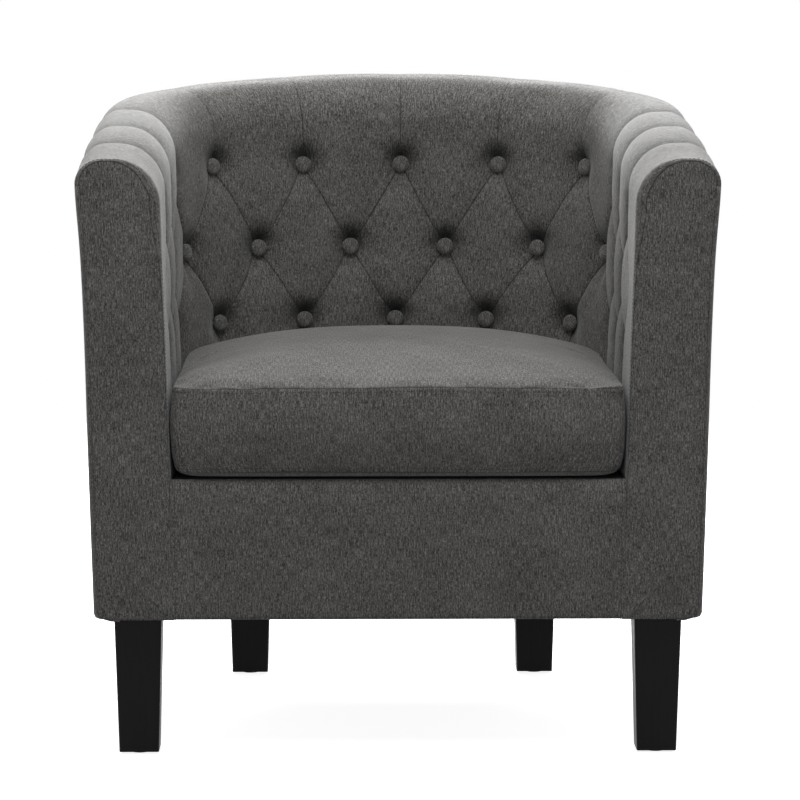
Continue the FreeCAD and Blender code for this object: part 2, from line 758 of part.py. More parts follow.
def wall_point(column, inset, height):
    """A point of the wall. Columns are counted along the inner face from the middle of the back."""
    face, plan = Plan(CROWN, height), Plan(Length(inset), height)
    joint = math.pi / 2 - face.joint_angle()
    along = abs(column) * pitch_at(height)
    side = -1 if column < 0 else 1
    back_run = face.back.number * joint
    corner_run = face.corner.number * (math.pi / 2 - joint)
    if along <= back_run:
        angle = along / face.back.number
        x = plan.back.number * math.sin(angle)
        y = plan.back_y.number + plan.back.number * math.cos(angle)
    elif along <= back_run + corner_run:
        angle = joint + (along - back_run) / face.corner.number
        x = plan.corner_x.number + plan.corner.number * math.sin(angle)
        y = plan.corner_y.number + plan.corner.number * math.cos(angle)
    else:
        x = plan.half.number
        y = plan.corner_y.number - (along - back_run - corner_run)
    return FreeCAD.Vector(side * x, y, height)


def arm_point(side, fraction, inset, height):
    """A point between the last column of buttons (fraction 0) and the arm's front end (fraction 1)."""
    last = wall_point(side * COLUMNS_EACH_SIDE, inset, height)
    last.y += fraction * (PANEL_BACK.number - last.y)
    return last


def crest_height(y):
    return size("arm_height") + CREST_RATE.number * (y - FRONT.number)


def row_height(row, column):
    """Rows run level round the back and dip along the arms, where the top row keeps clear of the crest."""
    level = size("top_row")
    ceiling = crest_height(wall_point(column, CROWN.number, level).y) - size("row_below_crest")
    share = 1 - row / (ROWS - 1)
    return level - row * size("row_spacing") - share * max(0.0, level - ceiling)


def bowed(start, middle, end):
    """An arc through three points, or a straight line where they hardly bow."""
    off_line = (middle - start).cross(end - start).Length / (end - start).Length
    if off_line < STRAIGHT:
        return Part.makeLine(start, end)
    return Part.Arc(start, middle, end).toShape()


def tuft_steps(near, rows):
    """Heights of the four fold lines, and the share of the full tuft depth on them, a distance from a column.

    On a column the folds spread round its upper and lower buttons. Half a pitch away they close on the middle one.
    """
    radius, crease = size("pocket_radius"), size("crease_width")
    crease_share = size("crease_depth") / size("tuft_depth")
    top, middle, bottom = rows
    if near == 0:
        return [bottom - radius, bottom + radius, top - radius, top + radius], [1, 1, 1, 1], 0
    if near == 0.5:
        heights = [middle - radius - crease, middle - radius, middle + radius, middle + radius + crease]
        return heights, [MIDDLE_FOLD_SHARE, 1, 1, MIDDLE_FOLD_SHARE], 1
    low, high = (middle + bottom) / 2, (top + middle) / 2
    heights = [low - crease / 2, low + crease / 2, high - crease / 2, high + crease / 2]
    return heights, [crease_share] * 4, SIDE_BOW_SHARE


def section(point_at, column, near, fade):
    """One closed section of the tufted cover. Fade runs from 0, full tufts, to 1, smooth."""
    crown = CROWN.number
    depth = size("tuft_depth") * (1 - fade)
    rows = [row_height(row, column) for row in range(ROWS)]
    heights, shares, middle_share = tuft_steps(near, rows)
    insets = [crown - depth * share for share in shares]
    middle_inset = crown - depth * middle_share
    flat_middle = middle_share == 1
    pleat = size("pleat_depth") * (1 - fade) * max(0.0, 1 - 2 * near)

    def under_crest(inset, drop):
        height = crest_height(0) + drop
        for _ in range(SETTLE_STEPS):
            height = crest_height(point_at(inset, height).y) + drop
        return point_at(inset, height)

    bottom = size("pad_bottom")
    outer_roll, inner_roll = size("outer_roll"), size("inner_roll")
    lean = 1 - math.sqrt(0.5)
    cloth, back = size("cover_thickness"), TUFT_OUT.number
    face = [point_at(crown - size("pad_foot_taper"), bottom)]
    face += [point_at(n, z) for n, z in zip(insets, heights)]
    face.append(under_crest(crown - pleat, -inner_roll))
    crowns = [
        point_at(crown, (bottom + heights[0]) / 2),
        None,
        point_at(middle_inset, (heights[1] + heights[2]) / 2),
        None,
        point_at(crown - pleat, heights[3] + (face[5].z - heights[3]) * BAND_SWELL_SHARE)]
    edges = []
    for number, top in enumerate(crowns):
        start, end = face[number], face[number + 1]
        straight = top is None or flat_middle and number == 2
        edges.append(Part.makeLine(start, end) if straight else bowed(start, top, end))
    inner_crest = under_crest(crown - inner_roll, -pleat)
    outer_crest = under_crest(outer_roll, -pleat)
    shoulder = under_crest(0, -outer_roll)
    inner_bend = under_crest(crown - inner_roll * lean - pleat / 2, -inner_roll * lean - pleat / 2)
    outer_bend = under_crest(outer_roll * lean, -outer_roll * lean - pleat / 2)
    edges.append(Part.Arc(face[5], inner_bend, inner_crest).toShape())
    edges.append(Part.makeLine(inner_crest, outer_crest))
    edges.append(Part.Arc(outer_crest, outer_bend, shoulder).toShape())
    gap = GAP.number
    under = -size("roll_thickness")
    inside = [
        (cloth, -outer_roll), (cloth, size("roll_lip") - outer_roll), (size("roll_foam_inset") - gap, under),
        (size("roll_foam_reach") + gap, under), (size("roll_foam_reach") + gap, ROLL_FOAM_BOTTOM.number),
        (back, ROLL_FOAM_BOTTOM.number)]
    corners = [shoulder] + [under_crest(n, drop) for n, drop in inside]
    corners += [point_at(back, bottom), face[0]]
    edges += [Part.makeLine(a, b) for a, b in zip(corners, corners[1:])]
    return Part.Wire(edges)


def tufted_sections():
    """Sections from the left arm's front, round the back, to the right arm's front."""
    reach = COLUMNS_EACH_SIDE
    steps = [column + share for column in range(-reach, reach) for share in STATION_SHARES] + [reach]
    middle = [section(lambda n, z, c=step: wall_point(c, n, z), step, abs(step - round(step)), 0)
              for step in steps]
    ends = {}
    for side in (-1, 1):
        ends[side] = [section(lambda n, z, s=side, f=along: arm_point(s, f, n, z), side * reach, near, fade)
                      for along, near, fade in FRONT_STATIONS]
    return ends[-1][::-1] + middle + ends[1]


tufted = doc.addObject("Part::Feature", "tufted_cover")
tufted.Label = "tufted_cover"
whole_cover = Part.makeLoft(tufted_sections(), True, False)
past_front = Part.makeBox(size("overall_width") * 2, size("overall_depth"), size("overall_height") * 2)
past_front.Placement.Base = FreeCAD.Vector(-size("overall_width"), PANEL_BACK.number - size("overall_depth"), 0)
tufted.Shape = whole_cover.cut(past_front)


# Buttons, the twine that draws them in, and the toggles that hold the twine behind the board
def button_seat(column, row):
    """Where a button's shank meets the cover, and the direction it faces."""
    height = row_height(row, column)
    inset = CROWN.number - size("tuft_depth")
    place = wall_point(column, inset, height)
    rise = wall_point(column, inset, height + 1) - wall_point(column, inset, height - 1)
    run = wall_point(column + 0.01, inset, height) - wall_point(column - 0.01, inset, height)
    facing = rise.cross(run).normalize()
    inward = wall_point(column, inset + 1, height) - place
    return place, facing if facing.dot(inward) > 0 else -facing


def placed(shape, place, facing):
    copy = shape.copy()
    copy.Placement = FreeCAD.Placement(place, FreeCAD.Rotation(FreeCAD.Vector(0, 0, 1), facing))
    return copy


def button_shape():
    """A covered button: shank, rim and dome, standing on its shank."""
    gap, shank, rim = size("button_gap"), size("button_shank_length"), size("button_rim")
    radius, inner, top = size("button_radius"), size("button_shank_radius"), size("button_dome")
    base = gap + shank
    dome_from = FreeCAD.Vector(radius, 0, base + rim)
    dome_to = FreeCAD.Vector(0, 0, base + rim + top)
    ball = (radius * radius + top * top) / (2 * top)
    half = math.asin(radius / ball) / 2
    middle = FreeCAD.Vector(ball * math.sin(half), 0, base + rim + top - ball + ball * math.cos(half))
    points = [FreeCAD.Vector(0, 0, gap), FreeCAD.Vector(inner, 0, gap), FreeCAD.Vector(inner, 0, base),
              FreeCAD.Vector(radius, 0, base), dome_from]
    edges = [Part.makeLine(a, b) for a, b in zip(points, points[1:])]
    edges.append(Part.Arc(dome_from, middle, dome_to).toShape())
    edges.append(Part.makeLine(dome_to, points[0]))
    outline = Part.Face(Part.Wire(edges))
    return outline.revolve(FreeCAD.Vector(0, 0, 0), FreeCAD.Vector(0, 0, 1), 360)


row_columns = []
for row in range(ROWS):
    shift = 0.5 if row % 2 else 0
    count = 2 * COLUMNS_EACH_SIDE + (0 if row % 2 else 1)
    row_columns.append([n - COLUMNS_EACH_SIDE + shift for n in range(count)])
button = button_shape()
twines, toggles = [], []
run = CROWN.number - size("tuft_depth") - FRAME_IN.number
for row, name in enumerate(("top", "middle", "bottom")):
    buttons = []
    for column in row_columns[row]:
        place, facing = button_seat(column, row)
        buttons.append(placed(button, place, facing))
        reach = run / math.sqrt(1 - facing.z ** 2)
        twine = Part.makeCylinder(size("twine_radius"), reach + size("button_gap"))
        twines.append(placed(twine, place - facing * reach, facing))
        toggle = Part.makeCylinder(size("toggle_radius"), size("toggle_thickness"))
        toggles.append(placed(toggle, place - facing * (reach + size("toggle_thickness")), facing))
    node = doc.addObject("Part::Feature", f"tuft_buttons_{name}")
    node.Label = f"tuft_buttons_{name}"
    node.Shape = Part.makeCompound(buttons)
for label, members in (("button_twine", twines), ("twine_toggles", toggles)):
    node = doc.addObject("Part::Feature", label)
    node.Label = label
    node.Shape = Part.makeCompound(members)

# Loose seat cushion: foam core in a case of two panels and a boxing border
CUSHION_INSET = CROWN + dim("cushion_gap")
CUSHION_FRONT = FRONT + dim("cushion_setback")


def cushion_sketch(body, name, lift, inset, scale=None):
    """A section of the cushion, with rounded front corners, at a lift above its underside."""
    height = CUSHION_BOTTOM + lift
    plan = Plan(CUSHION_INSET + inset, CUSHION_BOTTOM)
    front = CUSHION_FRONT + inset
    radius = dim("cushion_corner")
    if scale is not None:
        middle = (plan.back_y + plan.back + front) / 2
        for key in ("half", "back", "corner", "corner_x"):
            setattr(plan, key, getattr(plan, key) * scale)
        plan.back_y = middle + (plan.back_y - middle) * scale
        plan.corner_y = middle + (plan.corner_y - middle) * scale
        front = middle + (front - middle) * scale
        radius = radius * scale
    sketch = new_sketch(body, name, offset=height)
    right, left = u_line(sketch, plan, front + radius)
    across = line(sketch, (radius - plan.half, front), (plan.half - radius, front))
    turn_left = arc(sketch, radius - plan.half, front + radius, radius, math.pi, 1.5 * math.pi)
    turn_right = arc(sketch, plan.half - radius, front + radius, radius, 1.5 * math.pi, 2 * math.pi)
    chain = [left, turn_left, across, turn_right, right]
    for first, second in zip(chain, chain[1:]):
        tangent(sketch, first, second)
    return sketch


CLOTH = dim("cushion_cloth")
TUCK = dim("cushion_tuck")
TALL = dim("cushion_height")
CROWN_STEPS = [(scale, 1 - scale ** 2.4) for scale in (1, 0.88, 0.72, 0.5, 0.28)]


def cushion_loft(body, tag, steps, kind="Additive"):
    sketches = [cushion_sketch(body, f"{body.Label}_{tag}_{i}", *step) for i, step in enumerate(steps)]
    return loft(body, sketches, ruled=False, kind=kind)


def crown_steps(inset, low, rise):
    """Sections of the crown over a seam at a given inset and lift."""
    return [(low + rise * share, inset, None if scale == 1 else Length(scale))
            for scale, share in CROWN_STEPS]


core = new_body("cushion_core")
core_inset = CLOTH + GAP
core_low, core_high = CLOTH + GAP, TALL - CLOTH - GAP
core_sides = [(core_low, TUCK + core_inset), (TALL / 2, core_inset), (core_high, TUCK + core_inset)]
cushion_loft(core, "sides", core_sides)
cushion_loft(core, "crown", crown_steps(TUCK + core_inset, core_high, dim("cushion_crown")))

case_top = new_body("cushion_top_panel")
cushion_loft(case_top, "outside", crown_steps(TUCK, TALL, dim("cushion_crown")))
cushion_loft(case_top, "base", [(TALL - CLOTH, TUCK, None), (TALL, TUCK, None)])
cushion_loft(case_top, "inside", crown_steps(TUCK + CLOTH, TALL - CLOTH, dim("cushion_crown")), "Subtractive")

border = new_body("cushion_border")
border_low, border_high = CLOTH + GAP, TALL - CLOTH - GAP
outside = [(border_low, TUCK), (TALL / 2, Length(0)), (border_high, TUCK)]
cushion_loft(border, "outside", outside)
cushion_loft(border, "inside", [(lift, inset + CLOTH) for lift, inset in outside], "Subtractive")

case_bottom = new_body("cushion_bottom_panel")
pad(case_bottom, cushion_sketch(case_bottom, "cushion_bottom_panel_outline", Length(0), TUCK), CLOTH)

# Check every piece and write it
NODES = list(LEG_PLACES) + [
    "leg_glides", "hanger_bolts", "tee_nuts", "leg_blocks",
    "base_rail", "front_rail", "side_rail_left", "side_rail_right", "back_rail", "top_rail",
    "arm_post_left", "arm_post_right", "side_post_left", "side_post_right",
    "corner_post_left", "corner_post_right", "back_post_left", "back_post_right", "back_post_middle",
    "outer_liner", "inner_liner", "back_foam", "top_roll_foam", "outside_cover", "dust_cover",
    "arm_front_panel_left", "arm_front_panel_right", "front_border",
    "sinuous_springs", "spring_clips", "seat_felt", "deck_cover",
    "tufted_cover", "tuft_buttons_top", "tuft_buttons_middle", "tuft_buttons_bottom",
    "button_twine", "twine_toggles",
    "cushion_core", "cushion_top_panel", "cushion_border", "cushion_bottom_panel",
]
doc.recompute()
for item in doc.Objects:
    bad = [state for state in item.State if state in ("Invalid", "Error")]
    if bad:
        raise RuntimeError(f"{item.Label} did not build: {bad}")
os.makedirs("parts", exist_ok=True)
for label in NODES:
    item = doc.getObjectsByLabel(label)[0]
    shape = item.Shape
    if shape.isNull() or not shape.isValid() or shape.Volume <= 0:
        raise RuntimeError(f"{label} has no valid solid")
    box = shape.BoundBox
    print(f"{label}: {len(shape.Solids)} solid, {shape.Volume / 1000:.1f} cm3, "
          f"z {box.ZMin:.1f} to {box.ZMax:.1f}")
    shape.exportStep(f"parts/{label}.step")
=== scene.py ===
"""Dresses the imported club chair: tufted melange cloth, boxed cushion, seams and stitches, black tapered legs.

Metres, +Z up, the chair faces -Y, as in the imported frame. Walls are described by an inset, measured inwards
from the outside cloth, and a height. A row number called rho runs from 0 at the top buttons to 1 at the
bottom ones.
"""
import math

import bmesh
import bpy
import numpy as np
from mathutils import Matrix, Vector


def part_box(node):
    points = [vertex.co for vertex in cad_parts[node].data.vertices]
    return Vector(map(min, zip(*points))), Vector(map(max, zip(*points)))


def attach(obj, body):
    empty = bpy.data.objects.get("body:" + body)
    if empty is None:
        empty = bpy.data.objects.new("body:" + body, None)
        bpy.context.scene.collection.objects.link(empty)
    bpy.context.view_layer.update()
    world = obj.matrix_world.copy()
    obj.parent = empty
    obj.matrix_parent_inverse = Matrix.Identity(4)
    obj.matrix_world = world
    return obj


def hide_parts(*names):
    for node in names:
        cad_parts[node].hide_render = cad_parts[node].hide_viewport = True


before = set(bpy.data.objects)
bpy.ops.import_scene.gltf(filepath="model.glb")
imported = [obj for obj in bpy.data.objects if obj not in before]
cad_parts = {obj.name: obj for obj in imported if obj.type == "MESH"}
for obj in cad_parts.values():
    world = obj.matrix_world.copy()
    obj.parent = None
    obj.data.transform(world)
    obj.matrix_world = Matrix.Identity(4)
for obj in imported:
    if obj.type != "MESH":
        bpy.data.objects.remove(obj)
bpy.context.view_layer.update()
scene = bpy.context.scene
PI = math.pi

# Sizes of the wall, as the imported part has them
WIDTH = 0.720
DEPTH = 0.690
HEIGHT = 0.760
ARM_HEIGHT = 0.675
CROWN = 0.092
BACK_RADIUS = 0.520
CORNER_RADIUS = 0.260
SIDE_FLARE = 0.017
BACK_LEAN = 0.057
BASE = 0.158
OUTER_ROLL = 0.030
INNER_ROLL = 0.050
TOP_ROW = 0.645
MIDDLE_ROW = 0.541
BOTTOM_ROW = 0.449
TOP_PITCH = 0.126
BOTTOM_PITCH = 0.115
BELOW_CREST = 0.080
BUTTON_SEAT = 0.077
SIDE_SWELL = 0.0030
SWELL_LEVEL = 0.648
SWELL_TALL = 0.055
SIDE_WAIST = 0.0012
WAIST_LEVEL = 0.480
WAIST_TALL = 0.12
SWELL_FADE = 0.045
CORNER_SAG = 0.0045
SAG_FROM = 0.15
SAG_RUN = 0.28
BACK_LIFT = 0.0035
LIFT_FROM = 0.27
LIFT_RUN = 0.06
SKEW_TOP = 0.0115
SKEW_BOTTOM = 0.0045
SKEW_RATE = 0.30
SKEW_WHOLE = 2.6
SKEW_FADE = 2.0
LAST_COLUMN = 5
CREST_PASSES = 6
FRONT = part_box("front_border")[0].y
PANEL_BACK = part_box("tufted_cover")[0].y
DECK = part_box("deck_cover")[1].z
CUSHION_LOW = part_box("cushion_bottom_panel")[0].z
CUSHION_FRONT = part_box("cushion_border")[0].y
CUSHION_TALL = 0.103

SHOULDER = HEIGHT - OUTER_ROLL
FLARE_RATE = SIDE_FLARE / (SHOULDER - BASE)
SHEAR_RATE = (BACK_LEAN - SIDE_FLARE) / (SHOULDER - BASE)
CREST_RATE = (HEIGHT - ARM_HEIGHT) / (DEPTH - OUTER_ROLL)
CORNER_X = WIDTH / 2 - CORNER_RADIUS
CORNER_RISE = math.sqrt((BACK_RADIUS - CORNER_RADIUS) ** 2 - CORNER_X ** 2)
JOINT = math.atan2(CORNER_X, CORNER_RISE)


def smooth(t):
    """A soft step from 0 to 1."""
    t = np.clip(t, 0, 1)
    return t * t * (3 - 2 * t)


def side_swell(inset, height):
    """How far the sides swell out below the roll and are drawn in lower down, fading out into the padding."""
    out = SIDE_SWELL * np.exp(-((height - SWELL_LEVEL) / SWELL_TALL) ** 2)
    drawn = SIDE_WAIST * np.exp(-((height - WAIST_LEVEL) / WAIST_TALL) ** 2)
    return (out - drawn) * np.clip(1 - inset / SWELL_FADE, 0, 1)


def plan(inset, height):
    """Radii of the back and corner arcs, and the places of their centres, at an inset and height."""
    drop = SHOULDER - height
    shrink = inset + drop * FLARE_RATE - side_swell(inset, height)
    back_y = DEPTH / 2 - BACK_RADIUS - drop * SHEAR_RATE
    return BACK_RADIUS - shrink, CORNER_RADIUS - shrink, back_y, back_y + CORNER_RISE


def wall(along, inset, height):
    """Plan points of the wall, a length along its inner face from the middle of the back."""
    face_back, face_corner, back_y, corner_y = plan(CROWN, height)
    back, corner, _, _ = plan(inset, height)
    run = np.abs(along)
    back_run = face_back * JOINT
    corner_run = face_corner * (PI / 2 - JOINT)
    on_back = run <= back_run
    angle = np.where(on_back, run / face_back, JOINT + (run - back_run) / face_corner)
    angle = np.minimum(angle, PI / 2)
    x = np.where(on_back, back * np.sin(angle), CORNER_X + corner * np.sin(angle))
    y = np.where(on_back, back_y + back * np.cos(angle), corner_y + corner * np.cos(angle))
    y = y - np.maximum(0, run - back_run - corner_run)
    return np.where(along < 0, -x, x), y


def face_run(height):
    """Length of the inner face from the middle of the back to an arm's front end."""
    back, corner, _, corner_y = plan(CROWN, height)
    return back * JOINT + corner * (PI / 2 - JOINT) + corner_y - PANEL_BACK


def half_width(inset, height):
    """Half the width between the straight sides."""
    return WIDTH / 2 - inset - (SHOULDER - height) * FLARE_RATE + side_swell(inset, height)


def crest(y, sag=1.0):
    """Height of the rolled edge, which sags a little, most of all round the back corners."""
    low = CORNER_SAG * smooth((y - FRONT - SAG_FROM) / SAG_RUN)
    low = low - BACK_LIFT * smooth((y - LIFT_FROM) / LIFT_RUN)
    return ARM_HEIGHT + CREST_RATE * (y - FRONT) - sag * low


def pitch_at(height):
    """Distance between neighbouring columns of buttons."""
    return TOP_PITCH + (TOP_PITCH - BOTTOM_PITCH) / (TOP_ROW - BOTTOM_ROW) * (height - TOP_ROW)


def column_run(column, height):
    """Length along the inner face to a column; past the last one, a share of the way to the front."""
    pitch = pitch_at(height)
    count = np.abs(column)
    run = np.minimum(count, LAST_COLUMN) * pitch
    run = run + np.clip(count - LAST_COLUMN, 0, 1) * (face_run(height) - LAST_COLUMN * pitch)
    return np.sign(column) * run + hand_skew(column, height)


def hand_skew(column, height):
    """The rows were marked by hand: the back's columns stand a little to the right, the upper ones most."""
    share = np.clip((TOP_ROW - height) / (TOP_ROW - BOTTOM_ROW), 0, 1)
    reach = 1 - smooth((np.abs(column) - SKEW_WHOLE) / SKEW_FADE)
    return (SKEW_TOP + (SKEW_BOTTOM - SKEW_TOP) * share) * (1 - SKEW_RATE * column) * reach


def under_crest(column, inset, drop, sag=1.0):
    """Points of the wall a drop from the sloping crest."""
    height = np.full(np.broadcast(column, inset, drop).shape, TOP_ROW)
    for _ in range(CREST_PASSES):
        x, y = wall(column_run(column, height), inset, height)
        height = crest(y, sag) + drop
    return x, y, height


def top_row_height(column):
    """Height of the top buttons, which keep a set distance under the crest along the arms."""
    _, y = wall(column_run(column, TOP_ROW), CROWN, TOP_ROW)
    return np.minimum(TOP_ROW, crest(y) - BELOW_CREST)


# Small helpers for meshes
def new_piece(name, points, faces, uv=None, marks=None):
    """An object from points and faces, with a UV map and named float attributes given per point."""
    mesh = bpy.data.meshes.new(name)
    mesh.from_pydata([tuple(p) for p in points], [], faces)
    for key, values in (marks or {}).items():
        mesh.attributes.new(key, "FLOAT", "POINT").data.foreach_set("value", np.asarray(values, np.float32))
    if uv is not None:
        lay_uv(mesh, uv)
    mesh.shade_smooth()
    piece = bpy.data.objects.new(name, mesh)
    scene.collection.objects.link(piece)
    return piece


def lay_uv(mesh, uv):
    """A UV map from one pair per point."""
    corners = np.zeros(len(mesh.loops), np.int64)
    mesh.loops.foreach_get("vertex_index", corners)
    layer = mesh.uv_layers.new(name="UVMap")
    layer.data.foreach_set("uv", np.asarray(uv, np.float32)[corners].ravel())


def close_shell(piece, merge=0.0, fill=True, outward=False):
    """Closes a piece's open ends and turns its faces outwards, or an open sheet away from the middle."""
    net = bmesh.new()
    net.from_mesh(piece.data)
    if merge:
        bmesh.ops.remove_doubles(net, verts=net.verts, dist=merge)
    open_edges = [e for e in net.edges if e.is_boundary]
    if fill and open_edges:
        bmesh.ops.holes_fill(net, edges=open_edges, sides=0)
    bmesh.ops.recalc_face_normals(net, faces=net.faces)
    if outward:
        turned = sum(f.normal.xy.dot(f.calc_center_median().xy) for f in net.faces)
        if turned < 0:
            bmesh.ops.reverse_faces(net, faces=net.faces)
    net.to_mesh(piece.data)
    net.free()
    piece.data.update()


def grid_faces(index):
    """Four-sided faces between neighbouring rows and columns of an index grid."""
    a, b = index[:-1, :-1], index[:-1, 1:]
    c, d = index[1:, 1:], index[1:, :-1]
    return np.stack([a, b, c, d], -1).reshape(-1, 4).tolist()


def ring_faces(index):
    """Faces between rings of points, each of which closes on itself."""
    return grid_faces(np.hstack([index, index[:, :1]]))


def fan_faces(ring, tip):
    """Triangles from each edge of a ring to a tip."""
    return [[int(a), int(b), tip] for a, b in zip(ring, np.roll(ring, -1))]


def cap_faces(index, tip):
    """Triangles from the first ring to a tip and from the last ring to the point after it."""
    pairs = zip(fan_faces(index[0], tip), fan_faces(index[-1], tip + 1))
    return [face for (a, b, _), last in pairs for face in ([b, a, tip], last)]


def thicken(piece, thickness, offset):
    """Gives a sheet its thickness, and tells the area of its surface."""
    thick = piece.modifiers.new("cloth_thickness", "SOLIDIFY")
    thick.thickness = thickness
    thick.offset = offset
    return float(np.sum([p.area for p in piece.data.polygons]))


def dress(piece, material, body, *nodes, slot):
    """Gives a finished piece its material and body, and hides the CAD nodes that it stands for. The slot is not
    used.
    """
    piece.data.materials.clear()
    piece.data.materials.append(material)
    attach(piece, body)
    if nodes:
        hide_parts(*nodes)


# Shader groups that several finishes share
SURFACE = [("Color", "NodeSocketColor"), ("Height", "NodeSocketFloat"), ("Roughness", "NodeSocketFloat")]
TWO_TONES = [("Dark", "NodeSocketColor", None), ("Light", "NodeSocketColor", None),
             ("Rough Low", "NodeSocketFloat", 0.4), ("Rough High", "NodeSocketFloat", 0.6)]
# Stretch, detail, roughness and weight of the noises that make up the yarns' tone
YARN_NOISES = {
    "up": ((0.9, 0.20, 1.0), 1.5, 0.6, 0.44),
    "across": ((0.2, 0.8, 1.0), 1.5, 0.6, 0.20),
    "long_up": ((0.55, 0.055, 1.0), 1.0, 0.5, 0.28),
    "cloudy": ((0.012, 0.012, 1.0), 2.0, 0.5, 0.08),
}
TONE_LOW, TONE_MIDDLE, TONE_HIGH = 0.34, 0.50, 0.68


def shader_group(name, inputs, outputs):
    """A shader group with named inputs and outputs, and its two end nodes."""
    group = bpy.data.node_groups.new(name, "ShaderNodeTree")
    for label, kind, value in inputs:
        socket = group.interface.new_socket(name=label, in_out="INPUT", socket_type=kind)
        if value is not None:
            socket.default_value = value
    for label, kind in outputs:
        group.interface.new_socket(name=label, in_out="OUTPUT", socket_type=kind)
    return group, group.nodes.new("NodeGroupInput"), group.nodes.new("NodeGroupOutput")


class Wiring:
    """Short ways to add and join nodes in one tree."""

    def __init__(self, tree):
        self.tree = tree

    def put(self, kind, settings=None, **sockets):
        node = self.tree.nodes.new(kind)
        for key, value in (settings or {}).items():
            setattr(node, key, value)
        for key, value in sockets.items():
            name = key.replace("_", " ")
            socket = node.inputs[int(key[1:])] if key[1:].isdigit() else node.inputs[name]
            self.feed(socket, value)
        return node

    def feed(self, socket, value):
        if isinstance(value, bpy.types.NodeSocket):
            self.tree.links.new(value, socket)
        else:
            socket.default_value = value

    def math(self, operation, first, second=0.0, third=0.0):
        return self.put("ShaderNodeMath", {"operation": operation}, i0=first, i1=second, i2=third).outputs[0]

    def stretch(self, vector, scale):
        node = self.put("ShaderNodeVectorMath", {"operation": "MULTIPLY"}, i0=vector, i1=scale)
        return node.outputs[0]

    def noise(self, vector, scale, detail=2.0, rough=0.5):
        sockets = {"Vector": vector, "Scale": scale, "Detail": detail, "Roughness": rough}
        return self.put("ShaderNodeTexNoise", None, **sockets).outputs["Fac"]

    def ramp(self, value, low, high, to_low=0.0, to_high=1.0):
        node = self.put("ShaderNodeMapRange", None, Value=value)
        for number, number_value in enumerate((low, high, to_low, to_high), 1):
            node.inputs[number].default_value = number_value
        return node.outputs[0]

    def mix(self, share, first, second, blend="MIX"):
        node = self.tree.nodes.new("ShaderNodeMix")
        node.data_type = "RGBA"
        node.blend_type = blend
        for socket, value in zip((node.inputs[0], node.inputs[6], node.inputs[7]), (share, first, second)):
            self.feed(socket, value)
        return node.outputs[2]


def make_melange_weave():
    """Yarns of mixed greys: long slubs up the cloth, shorter ones across it, and the weave's bumps, with
    painted shade multiplied into the colour.
    """
    group, given, out = shader_group(
        "melange_weave",
        [("Cloth", "NodeSocketVector", None), ("Yarn", "NodeSocketFloat", 0.0011),
         ("Dark", "NodeSocketColor", None), ("Middle", "NodeSocketColor", None),
         ("Light", "NodeSocketColor", None), ("Spread", "NodeSocketFloat", 1.0),
         ("Painted Shade", "NodeSocketFloat", 0.0)], SURFACE)
    w = Wiring(group)
    per_yarn = w.math("DIVIDE", 1.0, given.outputs["Yarn"])
    threads = w.put("ShaderNodeVectorMath", {"operation": "SCALE"}, Vector=given.outputs["Cloth"],
                    Scale=per_yarn).outputs[0]
    tone, noises = 0.0, {}
    for name, (stretch, detail, rough, weight) in YARN_NOISES.items():
        noises[name] = w.noise(w.stretch(threads, stretch), 1.0, detail, rough)
        tone = w.math("MULTIPLY_ADD", noises[name], weight, tone)
    centred = w.math("SUBTRACT", tone, TONE_MIDDLE)
    spread = w.math("MULTIPLY_ADD", centred, given.outputs["Spread"], TONE_MIDDLE)
    color = w.mix(w.ramp(spread, TONE_LOW, TONE_MIDDLE), given.outputs["Dark"], given.outputs["Middle"])
    color = w.mix(w.ramp(spread, TONE_MIDDLE, TONE_HIGH), color, given.outputs["Light"])
    # Painted shade: the colour is darkened by the shade input
    shade = w.math("SUBTRACT", 1.0, given.outputs["Painted Shade"])
    color = w.mix(1.0, color, shade, "MULTIPLY")
    parts = w.put("ShaderNodeSeparateXYZ", None, Vector=threads)
    wave_u = w.math("SINE", w.math("MULTIPLY", parts.outputs[0], PI))
    wave_v = w.math("SINE", w.math("MULTIPLY", parts.outputs[1], PI))
    slubs = w.math("MULTIPLY_ADD", noises["up"], 0.9, w.math("MULTIPLY", noises["across"], 0.5))
    height = w.math("MULTIPLY_ADD", w.math("MULTIPLY", wave_u, wave_v), 0.25, slubs)
    w.feed(out.inputs["Color"], color)
    w.feed(out.inputs["Height"], height)
    w.feed(out.inputs["Roughness"], w.ramp(noises["up"], 0.3, 0.7, 0.95, 0.82))
    return group


def two_tones(w, given, out, height, low, high):
    """Colour and roughness that follow a height, from dark to light."""
    share = w.ramp(height, low, high)
    w.feed(out.inputs["Color"], w.mix(share, given.outputs["Dark"], given.outputs["Light"]))
    w.feed(out.inputs["Height"], height)
    smoothest, roughest = given.outputs["Rough Low"], given.outputs["Rough High"]
    span = w.math("SUBTRACT", roughest, smoothest)
    w.feed(out.inputs["Roughness"], w.math("MULTIPLY_ADD", share, span, smoothest))


def make_wood_grain():
    """Streaks along one direction, with fine pores."""
    group, given, out = shader_group("wood_grain", [("Place", "NodeSocketVector", None)] + TWO_TONES, SURFACE)
    w = Wiring(group)
    place = given.outputs["Place"]
    streak = w.noise(w.stretch(place, (1.0, 1.0, 0.06)), 160.0, 4.0, 0.6)
    pore = w.noise(w.stretch(place, (1.0, 1.0, 0.03)), 900.0, 2.0, 0.5)
    both = w.math("MULTIPLY_ADD", pore, 0.35, w.math("MULTIPLY", streak, 0.65))
    two_tones(w, given, out, both, 0.38, 0.62)
    return group


def make_fine_mottle():
    """Small mixed spots, for foam, felt, spun cloth, nylon and plated wire."""
    place = [("Place", "NodeSocketVector", None), ("Scale", "NodeSocketFloat", 400.0)]
    group, given, out = shader_group("fine_mottle", place + TWO_TONES, SURFACE)
    w = Wiring(group)
    spots = w.noise(given.outputs["Place"], given.outputs["Scale"], 3.0)
    two_tones(w, given, out, spots, 0.35, 0.65)
    return group


